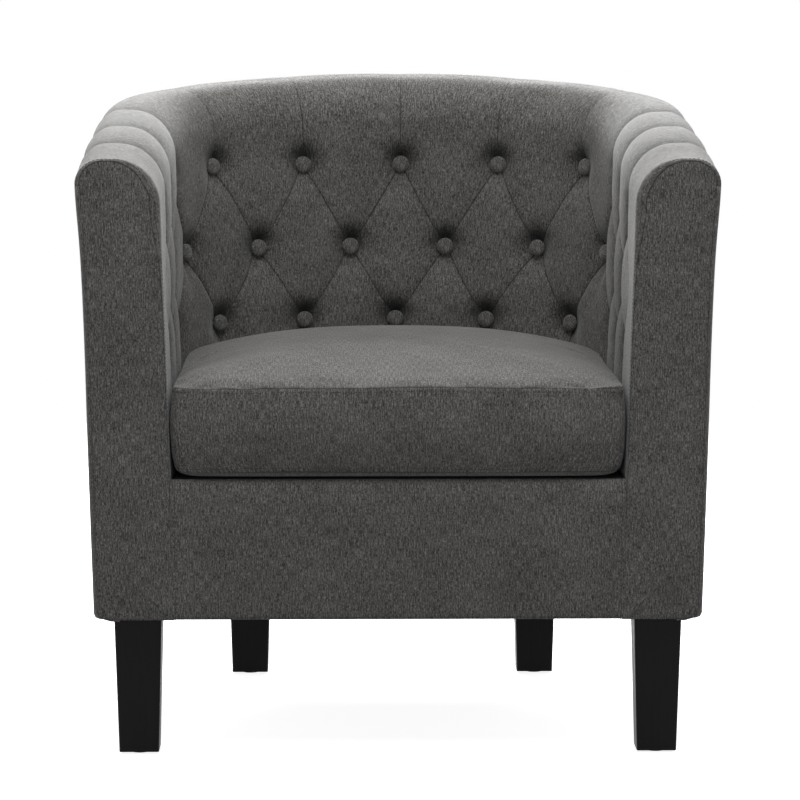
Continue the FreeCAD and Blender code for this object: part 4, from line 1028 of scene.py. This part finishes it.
def make_outside_cover():
    """The outside cloth with its two upright seams, their stitch lines, its flat size and its area."""
    end = face_run(TOP_ROW)
    even = np.linspace(-end, end, OUTSIDE_COLUMNS)
    shares = np.concatenate([even, OUTSIDE_SEAM + BESIDE_SEAM, -OUTSIDE_SEAM + BESIDE_SEAM]) / end
    shares = np.unique(np.round(shares, 6))
    seam_gap = np.abs(np.abs(shares * end) - OUTSIDE_SEAM)
    groove = SEAM_GROOVE * np.exp(-(seam_gap / GROOVE_WIDE) ** 2)
    levels = np.concatenate([HEM_LEVELS, np.linspace(HEM_TOP, 1.0, OUTSIDE_ROWS)])
    inset = np.concatenate([HEM_INSETS, np.zeros(OUTSIDE_ROWS)])
    rows = []
    for level, depth in zip(levels, inset):
        share = (level - HEM_TOP) / (1.0 - HEM_TOP)
        height = np.full(shares.shape, level)
        for _ in range(CREST_PASSES):
            x, y = wall(shares * face_run(height), depth + groove, height)
            if share >= 0:
                height = HEM_TOP + share * (crest(y) - UNDER_ROLL - HEM_TOP)
        waves = [np.sin(along * shares + up * height) for along, up in RIPPLE_WAVES]
        ripple = RIPPLE * np.abs(waves[0] * waves[1])
        tuck = ROLL_TUCK * smooth((share - TUCK_FROM) / (1 - TUCK_FROM))
        x, y = wall(shares * face_run(height), depth + groove + ripple * (share > 0) + tuck, height)
        rows.append(np.stack([x, y, height], -1))
    body = np.stack(rows)
    stops_in, stops_y, _ = wrap_curve(np.full(len(levels), SEAM_OUTSIDE))
    stops = stops_in.shape[1]
    foot = np.maximum(0.0, 1 - (body[:, 0, 2] - BASE) / ARM_CORNER)
    trim = ARM_CORNER * (1 - np.sqrt(np.clip(1 - foot ** 2, 0, 1)))
    ends = []
    for side, column in ((-1, 0), (1, -1)):
        height = np.broadcast_to(body[:, column, 2:], stops_in.shape)
        depth = np.maximum(inset[:, None], stops_in)
        edge_x = side * (half_width(depth, height) - trim[:, None] * np.linspace(0, 1, stops))
        ends.append(np.stack([edge_x, stops_y, height], -1))
    grid = np.concatenate([ends[0][:, ::-1], body, ends[1]], axis=1)
    across = np.concatenate([[0], np.linalg.norm(np.diff(grid[MEASURED_ROW], axis=0), axis=1).cumsum()])
    rise = np.linalg.norm(np.diff(grid[:, MEASURED_COLUMN], axis=0), axis=1)
    up = np.concatenate([[0], rise.cumsum()])
    uv = np.stack(np.broadcast_arrays(across[None, :], up[:, None]), -1)
    mark = np.zeros(grid.shape[:2])
    # Painted shade along the two upright seam grooves
    mark[:, stops:-stops] = np.exp(-(seam_gap / GROOVE_LINE) ** 2)[None, :]
    faces = grid_faces(np.arange(mark.size).reshape(mark.shape))
    piece = new_piece("outside_cloth", grid.reshape(-1, 3), faces, uv.reshape(-1, 2), {"fold": mark.ravel()})
    close_shell(piece, fill=False, outward=True)
    area = thicken(piece, OUTSIDE_THICK, -1)
    aside = [side * (OUTSIDE_SEAM + STITCH_ASIDE) for side in (-1, 1)]
    stitches = [grid[4:-2, stops + int(np.argmin(np.abs(shares * end - place)))] for place in aside]
    return piece, stitches, (float(across[-1]), float(up[-1])), area


# Loose seat cushion: two panels and a boxing border, swollen by its filling
CUSHION_INSET = CROWN + 0.002
TOP_TUCK = 0.0012
BOTTOM_TUCK = 0.0045
BOTTOM_LIFT = 0.0075
CUSHION_RISE = 0.0372
CORNER_TOP = 0.006
CORNER_BOTTOM = 0.016
CROWN_ROUNDING = 0.17
FRONT_BULGE = 0.012
FRONT_REACH = 0.06
TOP_PUSH = 0.7
BORDER_PUSH = 0.3
LOW_PUSH = 0.15
BOTTOM_PUSH = 0.85
LIFT_SCALE = 0.93
CROWN_POWER = 2.4
SEAM_WAVES = [(0.0004, 0.41, 0.0), (0.0008, 0.173, 1.0)]
LOW_WAVE = 0.9
LOW_WAVE_SHIFT = 60
SEAM_NIP = 0.0013
# Painted shade on the top panel's ring beside the top seam; the seam rings themselves get full painted shade
SEAM_MARK = 0.25
# Counts of points over half the front, a front corner, a side, a back corner and half the back
CUSHION_COUNTS = (25, 9, 37, 22, 20)
SHEET_COUNTS = (21, 1, 25, 14, 14)
TOP_SCALES = [0.994, 0.985, 0.97, 0.95, 0.92, 0.88, 0.83, 0.77, 0.70, 0.62, 0.53, 0.43, 0.33, 0.23, 0.13,
              0.05]
BORDER_TALL = CUSHION_TALL - BOTTOM_LIFT
BORDER_SHARES = [0.0, 0.018, 0.05, 0.10, 0.18, 0.28, 0.39, 0.50, 0.61, 0.72, 0.82, 0.90, 0.95, 0.982, 1.0]
STITCH_ROW = 2
BOTTOM_SCALES = [0.994, 0.985, 0.96, 0.92, 0.85, 0.75, 0.62, 0.47, 0.32, 0.18, 0.07]


def fill_outline(inset, height, front, turn, counts):
    """Right and left halves of an outline that fills the U, from the front's middle round by the right."""
    back, corner, back_y, corner_y = plan(inset, height)
    half = half_width(inset, height)
    right = [(t * (half - turn), front) for t in np.linspace(0, 1, counts[0])]
    right += [(half - turn + turn * math.sin(a), front + turn - turn * math.cos(a))
              for a in np.linspace(0, PI / 2, counts[1])[1:]]
    right += [(half, y) for y in np.linspace(front + turn, corner_y, counts[2])[1:]]
    right += [(CORNER_X + corner * math.cos(a), corner_y + corner * math.sin(a))
              for a in np.linspace(0, PI / 2 - JOINT, counts[3])[1:]]
    right += [(back * math.sin(a), back_y + back * math.cos(a)) for a in np.linspace(JOINT, 0, counts[4])[1:]]
    right = np.array(right)
    return right, right[1:-1][::-1] * np.array([-1, 1])


def cushion_loop(inset, scale=1.0, turn=CORNER_TOP):
    """The cushion's outline seen from above, from the middle of the back round by the left."""
    front = CUSHION_FRONT + inset
    right, left = fill_outline(CUSHION_INSET + inset, CUSHION_LOW, front, turn, CUSHION_COUNTS)
    loop = np.roll(np.vstack([right, left]), 1 - len(right), 0)
    middle = np.array([0, (front + right[-1, 1]) / 2])
    return middle + (loop - middle) * scale


def push_front(loop, share):
    """Moves a loop's front forwards, where the filling presses the border out over the seat's front edge."""
    near = np.clip(1 - (loop[:, 1] - CUSHION_FRONT) / FRONT_REACH, 0, 1) ** 2
    middle = 1 - (np.abs(loop[:, 0]) / np.abs(loop[:, 0]).max()) ** 8
    return loop - np.outer(FRONT_BULGE * share * near * middle, (0, 1))


def make_cushion():
    """The case as rings from the top's middle to the bottom's, with a UV per point and a mark of painted shade
    per ring, set at the seams.
    """
    loops, marks, uv = [], [], []
    edge = cushion_loop(0.0)
    count = len(edge)
    steps = np.arange(count)
    seam_wave = sum(tall * np.sin(steps * rate + start) for tall, rate, start in SEAM_WAVES)
    seam_level = CUSHION_LOW + CUSHION_TALL
    for scale in reversed(TOP_SCALES):
        rise = CUSHION_RISE * (1 - scale ** CROWN_POWER)
        loop = cushion_loop(TOP_TUCK, scale, CORNER_TOP + CROWN_ROUNDING * (1 - scale))
        loop = push_front(loop, TOP_PUSH)
        loops.append(np.column_stack([loop, seam_level + rise + seam_wave * scale ** 8]))
        uv.append(loop)
        marks.append(SEAM_MARK if scale == TOP_SCALES[0] else 0.0)
    flow = np.linalg.norm(np.roll(edge, -1, 0) - edge, axis=1).cumsum()
    around = np.concatenate([[0], flow[:-1]])
    for share in BORDER_SHARES:
        step = share * BORDER_TALL
        turn = CORNER_TOP + (CORNER_BOTTOM - CORNER_TOP) * share ** 1.5
        loop = cushion_loop(TOP_TUCK * (1 - share) ** 4 + BOTTOM_TUCK * share ** 8, turn=turn)
        loop = push_front(loop, TOP_PUSH + BORDER_PUSH * math.sin(PI * share) + LOW_PUSH * share)
        wave = seam_wave * (1 - share) + LOW_WAVE * np.roll(seam_wave, LOW_WAVE_SHIFT) * share
        loops.append(np.column_stack([loop, seam_level - step + wave]))
        uv.append(np.column_stack([around, np.full(count, -step)]))
        marks.append(1.0 if share in (0.0, 1.0) else 0.0)
    for scale in BOTTOM_SCALES:
        loop = push_front(cushion_loop(BOTTOM_TUCK, scale, CORNER_BOTTOM), BOTTOM_PUSH)
        lift = BOTTOM_LIFT * max(0.0, (scale - LIFT_SCALE) / (1 - LIFT_SCALE)) ** 2
        loops.append(np.column_stack([loop, np.full(count, CUSHION_LOW + lift)]))
        uv.append(loop)
        marks.append(0.0)
    return np.stack(loops), np.stack(uv), np.array(marks)


# Cloth simulation of the filled case
SIM_FRAMES = 20
SIM_CAP = 0.0035
SIM_SETTINGS = {
    "quality": 6, "mass": 0.25, "tension_stiffness": 25, "compression_stiffness": 25, "shear_stiffness": 12,
    "bending_stiffness": 1.2, "use_pressure": True, "uniform_pressure_force": 4, "shrink_min": -0.012,
    "vertex_group_mass": "held", "pin_stiffness": 1,
}


def swell(points, faces, held):
    """Lets the filling press the case out, with its seams held, and gives back the settled points."""
    piece = new_piece("cushion_settling", points, faces)
    close_shell(piece)
    group = piece.vertex_groups.new(name="held")
    for number, weight in enumerate(held):
        if weight > 0:
            group.add([number], float(weight), "REPLACE")
    cloth = piece.modifiers.new("settling", "CLOTH")
    for key, value in SIM_SETTINGS.items():
        setattr(cloth.settings, key, value)
    cloth.settings.effector_weights.gravity = 0
    cloth.point_cache.frame_start = 1
    cloth.point_cache.frame_end = SIM_FRAMES
    for number in range(1, SIM_FRAMES + 1):
        scene.frame_set(number)
    settled = piece.evaluated_get(bpy.context.evaluated_depsgraph_get())
    moved = np.zeros(len(points) * 3, np.float32)
    settled.data.vertices.foreach_get("co", moved)
    moved = moved.reshape(-1, 3).astype(float)
    scene.frame_set(1)
    bpy.data.objects.remove(piece, do_unlink=True)
    step = moved - points
    length = np.linalg.norm(step, axis=1)[:, None]
    return points + step * np.minimum(1, SIM_CAP / np.maximum(length, 1e-9))


def build_cushion():
    """The cushion's case as one closed piece, and its two lines of stitches."""
    loops, uv, marks = make_cushion()
    rings, count = loops.shape[:2]
    index = np.arange(rings * count).reshape(rings, count)
    top = rings * count
    points = np.vstack([loops.reshape(-1, 3), loops[0].mean(0), loops[-1].mean(0)])
    faces = ring_faces(index) + cap_faces(index, top)
    first_seam = len(TOP_SCALES)
    last_seam = first_seam + len(BORDER_SHARES) - 1
    held = np.zeros((rings, count))
    held[first_seam] = 1.0
    held[last_seam:] = 1.0
    points = swell(points, faces, np.append(held.ravel(), [0, 1]))
    net = points[:-2].reshape(rings, count, 3)
    centre = np.array([0, net[..., 1].mean(), CUSHION_LOW + CUSHION_TALL / 2])
    for seam in (first_seam, last_seam):
        inward = centre - net[seam]
        inward /= np.linalg.norm(inward, axis=1)[:, None]
        net[seam] += inward * SEAM_NIP
    points[:-2] = net.reshape(-1, 3)
    points[:, 2] = np.maximum(points[:, 2], CUSHION_LOW)
    flat_uv = np.vstack([uv.reshape(-1, 2), uv[0].mean(0), uv[-1].mean(0)])
    mark = np.append(np.repeat(marks, count), [0, 0])
    piece = new_piece("seat_cushion_case", points, faces, flat_uv, {"fold": mark})
    border_uv(piece, uv, first_seam, last_seam, count)
    close_shell(piece)
    finer = piece.modifiers.new("finer", "SUBSURF")
    finer.levels = 1
    finer.render_levels = 1
    stitch_rings = (first_seam + STITCH_ROW, last_seam - STITCH_ROW)
    return piece, [np.vstack([net[ring], net[ring][:1]]) for ring in stitch_rings]


def border_uv(piece, uv, first_seam, last_seam, count):
    """The border's cloth runs upright, so its faces take a UV of their own."""
    mesh = piece.data
    layer = mesh.uv_layers["UVMap"]
    edge = cushion_loop(0.0)
    total = np.linalg.norm(edge - np.roll(edge, 1, 0), axis=1).sum()
    for face in mesh.polygons:
        rings = [v // count for v in face.vertices]
        if min(rings) < first_seam or max(rings) > last_seam:
            if max(rings) <= first_seam or min(rings) >= last_seam:
                for loop, ring, vertex in zip(face.loop_indices, rings, face.vertices):
                    if ring in (first_seam, last_seam):
                        layer.data[loop].uv = edge[vertex % count]
            continue
        columns = [v % count for v in face.vertices]
        wraps = max(columns) - min(columns) > 1
        for loop, ring, column in zip(face.loop_indices, rings, columns):
            u, v = uv[ring][column]
            if wraps and column == 0:
                u = total
            layer.data[loop].uv = (u, v)


# Sheets under the cushion and under the base
SHEET_SCALES = [1.0, 0.985, 0.95, 0.88, 0.78, 0.66, 0.52, 0.38, 0.24, 0.1]
SHEET_WAVE = 0.12
SHEET_RATES = (99, 41)
DECK_INSET = CROWN + 0.003
DUST_INSET = 0.0056
SHEET_FRONT = PANEL_BACK + 0.001
STAPLE_SCALE = 0.965
STAPLE_SINK = 0.0002


def make_sheet(name, inset, height, front, rise, thickness):
    """A tight sheet, swollen or sagging a little in its middle, with its flat size, area and edge."""
    edge = np.vstack(fill_outline(inset, height, front, 0.0, SHEET_COUNTS))
    middle = edge.mean(0)
    loops = []
    for scale in SHEET_SCALES:
        loop = middle + (edge - middle) * scale
        waves = np.sin(loop * SHEET_RATES)
        wave = SHEET_WAVE * rise * waves[:, 0] * waves[:, 1] * (1 - scale)
        loops.append(np.column_stack([loop, height + rise * (1 - scale ** 2) + wave]))
    points = np.vstack([np.concatenate(loops), [[*middle, height + rise]]])
    index = np.arange(len(points) - 1).reshape(len(SHEET_SCALES), len(edge))
    faces = ring_faces(index) + fan_faces(index[-1], len(points) - 1)
    piece = new_piece(name, points, faces, points[:, :2])
    close_shell(piece, fill=False)
    area = thicken(piece, thickness, 0)
    size = edge.max(0) - edge.min(0)
    return piece, (float(size[0]), float(size[1])), area, edge


# Repeated pieces made with geometry nodes
def repeat_tree(name, sizes, material, lay):
    """A geometry node tree with named sizes: what lay puts down becomes one mesh of a material."""
    tree = bpy.data.node_groups.new(name, "GeometryNodeTree")
    tree.interface.new_socket(name="Geometry", in_out="INPUT", socket_type="NodeSocketGeometry")
    for label, value in sizes.items():
        socket = tree.interface.new_socket(name=label, in_out="INPUT", socket_type="NodeSocketFloat")
        socket.default_value = value
    tree.interface.new_socket(name="Geometry", in_out="OUTPUT", socket_type="NodeSocketGeometry")
    w = Wiring(tree)
    given, out = tree.nodes.new("NodeGroupInput"), tree.nodes.new("NodeGroupOutput")
    laid = lay(w, given.outputs)
    real = w.put("GeometryNodeRealizeInstances", None, Geometry=laid.outputs[0])
    done = w.put("GeometryNodeSetMaterial", None, Geometry=real.outputs[0], Material=material)
    w.feed(out.inputs[0], done.outputs[0])
    return tree


def lay_along(w, given, shape, **more):
    """A shape repeated along a curve and turned to follow it."""
    path = w.put("GeometryNodeResampleCurve", {"mode": "LENGTH"}, Curve=given["Geometry"],
                 Length=given["Spacing"])
    tangent = w.put("GeometryNodeInputTangent").outputs[0]
    turn = w.put("FunctionNodeAlignRotationToVector", {"axis": "X"}, Vector=tangent).outputs[0]
    return w.put("GeometryNodeInstanceOnPoints", None, Points=path.outputs[0], Instance=shape.outputs[0],
                 Rotation=turn, **more)


def lay_stitches(w, given):
    """Thread stitches laid end to end along a curve."""
    shape = w.put("GeometryNodeMeshUVSphere", None, Segments=6, Rings=4, Radius=0.5)
    thick = given["Thickness"]
    size = w.put("ShaderNodeCombineXYZ", None, X=given["Length"], Y=thick, Z=thick).outputs[0]
    return lay_along(w, given, shape, Scale=size)


def lay_staples(w, given):
    """Staples along a curve."""
    size = w.put("ShaderNodeCombineXYZ", None, X=given["Width"], Y=given["Wire"], Z=given["Wire"]).outputs[0]
    return lay_along(w, given, w.put("GeometryNodeMeshCube", None, Size=size))


def button_layer(button):
    """A way to lay covered buttons on points that carry the direction they face."""
    def lay(w, given):
        shape = w.put("GeometryNodeObjectInfo", None, Object=button).outputs["Geometry"]
        aim = w.put("GeometryNodeInputNamedAttribute", {"data_type": "FLOAT_VECTOR"}, Name="facing")
        turn = w.put("FunctionNodeAlignRotationToVector", {"axis": "Z"}, Vector=aim.outputs[0]).outputs[0]
        return w.put("GeometryNodeInstanceOnPoints", None, Points=given["Geometry"], Instance=shape,
                     Rotation=turn, Scale=given["Size"])
    return lay


def realised(carrier, tree, sizes, name):
    """Runs a node tree on a carrier and keeps its result as a plain mesh piece."""
    modifier = carrier.modifiers.new("laid", "NODES")
    modifier.node_group = tree
    for item in tree.interface.items_tree:
        if item.in_out == "INPUT" and item.name in sizes:
            modifier[item.identifier] = sizes[item.name]
    bpy.context.view_layer.update()
    made = carrier.evaluated_get(bpy.context.evaluated_depsgraph_get())
    mesh = bpy.data.meshes.new_from_object(made)
    mesh.name = name
    mesh.shade_smooth()
    bpy.data.objects.remove(carrier, do_unlink=True)
    piece = bpy.data.objects.new(name, mesh)
    scene.collection.objects.link(piece)
    return piece


def along_paths(name, paths, tree, sizes):
    """A tree's repeats along one or more lines of points."""
    curve = bpy.data.curves.new(name + "_lines", "CURVE")
    curve.dimensions = "3D"
    for path in paths:
        spline = curve.splines.new("POLY")
        spline.points.add(len(path) - 1)
        spline.points.foreach_set("co", np.column_stack([path, np.ones(len(path))]).ravel())
    carrier = bpy.data.objects.new(name + "_lines", curve)
    scene.collection.objects.link(carrier)
    return realised(carrier, tree, sizes, name)


BUTTON_RADIUS = 0.0105
BUTTON_PROFILE = [(0.30, 0.985), (0.55, 0.93), (0.76, 0.80), (0.90, 0.60), (0.98, 0.33), (1.0, 0.08),
                  (0.96, -0.14), (0.84, -0.26), (0.45, -0.30)]
BUTTON_GATHER = 0.018
BUTTON_SIZES = {"Size": 1.0}
AIM_STEP = 0.01
BUTTON_RISE = 0.0062
BUTTON_STAND = 0.0034
BUTTON_SIDES = 24


def make_button():
    """One covered button: a cloth dome drawn in under its rim with small gathers."""
    points, uv = [], []
    for share, rise in BUTTON_PROFILE:
        for step in range(BUTTON_SIDES):
            angle = 2 * PI * step / BUTTON_SIDES
            gathered = share > 0.9 and rise < 0.4
            gather = BUTTON_GATHER * gathered * math.cos(BUTTON_SIDES / 2 * angle)
            reach = BUTTON_RADIUS * share * (1 - gather)
            height = BUTTON_STAND + BUTTON_RISE * rise
            points.append((reach * math.cos(angle), reach * math.sin(angle), height))
            spread = BUTTON_RADIUS * (share if rise > 0 else 2 - share)
            uv.append((spread * math.cos(angle), spread * math.sin(angle)))
    index = np.arange(len(points)).reshape(len(BUTTON_PROFILE), BUTTON_SIDES)
    top = len(points)
    points.append((0, 0, BUTTON_STAND + BUTTON_RISE))
    points.append((0, 0, BUTTON_STAND + BUTTON_RISE * BUTTON_PROFILE[-1][1]))
    uv += [(0, 0), (0, 0)]
    faces = ring_faces(index) + cap_faces(index, top)
    button = new_piece("covered_button", points, faces, uv)
    close_shell(button)
    return button


def button_places():
    """Seats of all the buttons and the directions they face."""
    seats, facings = [], []
    for rho, columns in button_rows():
        for column in columns:
            height = float(row_level(rho, column))
            x, y = wall(column_run(column, height), BUTTON_SEAT, height)
            ahead = wall(column_run(column, height), BUTTON_SEAT + AIM_STEP, height)
            facing = Vector((float(ahead[0] - x), float(ahead[1] - y), 0.0)).normalized()
            lean = wall(column_run(column, height + AIM_STEP), BUTTON_SEAT, height + AIM_STEP)
            rise = Vector((float(lean[0] - x), float(lean[1] - y), AIM_STEP)).normalized()
            facing = (facing - rise * facing.dot(rise)).normalized()
            seats.append((float(x), float(y), height))
            facings.append(facing)
    return seats, facings


def make_buttons():
    """All the covered buttons as one piece."""
    seats, facings = button_places()
    button = make_button()
    carrier = new_piece("button_seats", seats, [])
    carrier.data.attributes.new("facing", "FLOAT_VECTOR", "POINT").data.foreach_set(
        "vector", np.array(facings, np.float32).ravel())
    tree = repeat_tree("covered_buttons_tree", BUTTON_SIZES, linen, button_layer(button))
    piece = realised(carrier, tree, BUTTON_SIZES, "covered_buttons")
    bpy.data.objects.remove(button, do_unlink=True)
    return piece


# Build and dress every piece
STITCH = {"Spacing": 0.0046, "Length": 0.0036, "Thickness": 0.0009}
STAPLE = {"Spacing": 0.045, "Width": 0.010, "Wire": 0.0008}
stitches = repeat_tree("thread_stitches", STITCH, thread, lay_stitches)
tufted, arm_stitch_lines = make_tufted_cover()
dress(tufted, linen, "frame", "tufted_cover", slot="linen_cloth")
for side_name, side in (("left", -1), ("right", 1)):
    panel = make_arm_panel(f"arm_front_pad_{side_name}", side)
    dress(panel, linen, "frame", f"arm_front_panel_{side_name}", slot="linen_cloth")
border, border_stitch_lines = make_front_border()
dress(border, linen, "frame", "front_border", slot="linen_cloth")
outside, outside_stitch_lines, outside_flat, outside_area = make_outside_cover()
dress(outside, linen, "frame", "outside_cover", slot="linen_cloth")
frame_lines = arm_stitch_lines + border_stitch_lines + outside_stitch_lines
frame_stitches = along_paths("frame_stitching", frame_lines, stitches, STITCH)
dress(frame_stitches, thread, "frame", slot="linen_cloth")
buttons = make_buttons()
dress(buttons, linen, "frame", "tuft_buttons_top", "tuft_buttons_middle", "tuft_buttons_bottom",
      slot="linen_cloth")

cushion, cushion_stitch_lines = build_cushion()
dress(cushion, linen, "seat_cushion", "cushion_core", "cushion_top_panel", "cushion_border",
      "cushion_bottom_panel", slot="linen_cloth")
cushion_stitches = along_paths("cushion_stitching", cushion_stitch_lines, stitches, STITCH)
dress(cushion_stitches, thread, "seat_cushion", slot="linen_cloth")

deck, deck_flat, deck_area, _ = make_sheet(
    "deck_cloth", DECK_INSET, DECK - 0.001, SHEET_FRONT, -0.0012, 0.0012)
dress(deck, lining_cloth, "frame", "deck_cover", slot="deck_cloth")
dust_low, dust_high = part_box("dust_cover")
dust, dust_flat, dust_area, dust_edge = make_sheet(
    "dust_cloth", DUST_INSET, (dust_low.z + dust_high.z) / 2, SHEET_FRONT, -0.0016, 0.0006)
dress(dust, finishes["spun_cloth"], "frame", "dust_cover", slot="dust_cloth")
staple_line = dust_edge.mean(0) + (dust_edge - dust_edge.mean(0)) * STAPLE_SCALE
staple_path = np.column_stack([staple_line, np.full(len(staple_line), dust_low.z - STAPLE_SINK)])
staples = along_paths("dust_cloth_staples", [np.vstack([staple_path, staple_path[:1]])],
                      repeat_tree("staples", STAPLE, plated_steel, lay_staples), STAPLE)
dress(staples, plated_steel, "frame", slot="steel")

# Floor, light and camera
FLOOR_HALF = 3
FLOOR_CORNERS = [(-FLOOR_HALF, -FLOOR_HALF, 0), (FLOOR_HALF, -FLOOR_HALF, 0), (FLOOR_HALF, FLOOR_HALF, 0),
                 (-FLOOR_HALF, FLOOR_HALF, 0)]
floor_mesh = bpy.data.meshes.new("floor")
floor_mesh.from_pydata(FLOOR_CORNERS, [], [(0, 1, 2, 3)])
floor = bpy.data.objects.new("floor", floor_mesh)
scene.collection.objects.link(floor)
FLOOR_PALE = 0.20
FLOOR_SHADE = 0.8
FLOOR_SEEN = 0.90
SKY_LIGHT = 0.07


def seen_share(w):
    """1 for rays that show the surroundings: straight from the camera, or by way of a gloss or glass."""
    path = w.put("ShaderNodeLightPath")
    share = w.math("MAXIMUM", path.outputs["Is Camera Ray"], path.outputs["Is Glossy Ray"])
    return w.math("MAXIMUM", share, path.outputs["Is Transmission Ray"])


floor_look = bpy.data.materials.new("pale_floor")
floor_look.use_nodes = True
w = Wiring(floor_look.node_tree)
floor_look.node_tree.nodes.remove(floor_look.node_tree.nodes["Principled BSDF"])
lit = w.put("ShaderNodeBsdfDiffuse", None, Color=grey(FLOOR_PALE))
shown_lit = w.put("ShaderNodeBsdfDiffuse", None, Color=grey(FLOOR_SHADE))
glow = w.put("ShaderNodeEmission", None, Color=grey(1.0), Strength=FLOOR_SEEN)
seen = w.put("ShaderNodeAddShader", None, i0=shown_lit.outputs[0], i1=glow.outputs[0])
either = w.put("ShaderNodeMixShader", None, Fac=seen_share(w), i1=lit.outputs[0], i2=seen.outputs[0])
w.feed(floor_look.node_tree.nodes["Material Output"].inputs["Surface"], either.outputs[0])
floor_mesh.materials.append(floor_look)

world = bpy.data.worlds.new("studio")
scene.world = world
world.use_nodes = True
w = Wiring(world.node_tree)
sky = world.node_tree.nodes["Background"]
sky.inputs["Color"].default_value = grey(1.0)
white = w.put("ShaderNodeBackground", None, Color=grey(1.0), Strength=1.0)
sky.inputs["Strength"].default_value = SKY_LIGHT
either = w.put("ShaderNodeMixShader", None, Fac=seen_share(w), i1=sky.outputs[0], i2=white.outputs[0])
w.feed(world.node_tree.nodes["World Output"].inputs["Surface"], either.outputs[0])


def soft_lamp(name, place, target, width, depth, power):
    """A rectangular light of a width and depth, turned to a target."""
    lamp = bpy.data.lights.new(name, "AREA")
    lamp.shape = "RECTANGLE"
    lamp.size = width
    lamp.size_y = depth
    lamp.energy = power
    holder = bpy.data.objects.new(name, lamp)
    holder.location = place
    holder.rotation_euler = (Vector(target) - Vector(place)).to_track_quat("-Z", "Y").to_euler()
    scene.collection.objects.link(holder)


soft_lamp("overhead_softbox", (0.0, 0.80, 2.5), (0.0, 0.50, 0.4), 2.4, 1.6, 28)
soft_lamp("front_softbox", (0.0, -1.3, 2.5), (0.0, 0.0, 0.5), 2.0, 1.2, 24)
soft_lamp("rear_softbox", (0.0, 2.4, 1.70), (0.0, 0.0, 0.65), 2.4, 0.8, 150)
for side_name, side in (("left", -1), ("right", 1)):
    soft_lamp(f"{side_name}_softbox", (2.3 * side, 0.35, 1.75), (0.0, 0.0, 0.6), 1.4, 1.6, 10)
soft_lamp("front_fill", (0.0, -3.6, 0.9), (0.0, 0.0, 0.40), 2.6, 1.6, 18)

CAMERA_PLACE = Vector((-0.059, -4.345, 0.838))
CAMERA_TURN = math.radians(0.87)
CAMERA_DOWN = math.radians(6.15)
camera_data = bpy.data.cameras.new("photo_camera")
camera = bpy.data.objects.new("photo_camera", camera_data)
scene.collection.objects.link(camera)
scene.camera = camera
camera_data.sensor_width = 36
camera_data.lens = 162
camera.location = CAMERA_PLACE
look = Vector((math.sin(CAMERA_TURN) * math.cos(CAMERA_DOWN), math.cos(CAMERA_TURN) * math.cos(CAMERA_DOWN),
               -math.sin(CAMERA_DOWN)))
camera.rotation_euler = look.to_track_quat("-Z", "Y").to_euler()
camera_data.clip_end = 100

scene.view_settings.view_transform = "Standard"
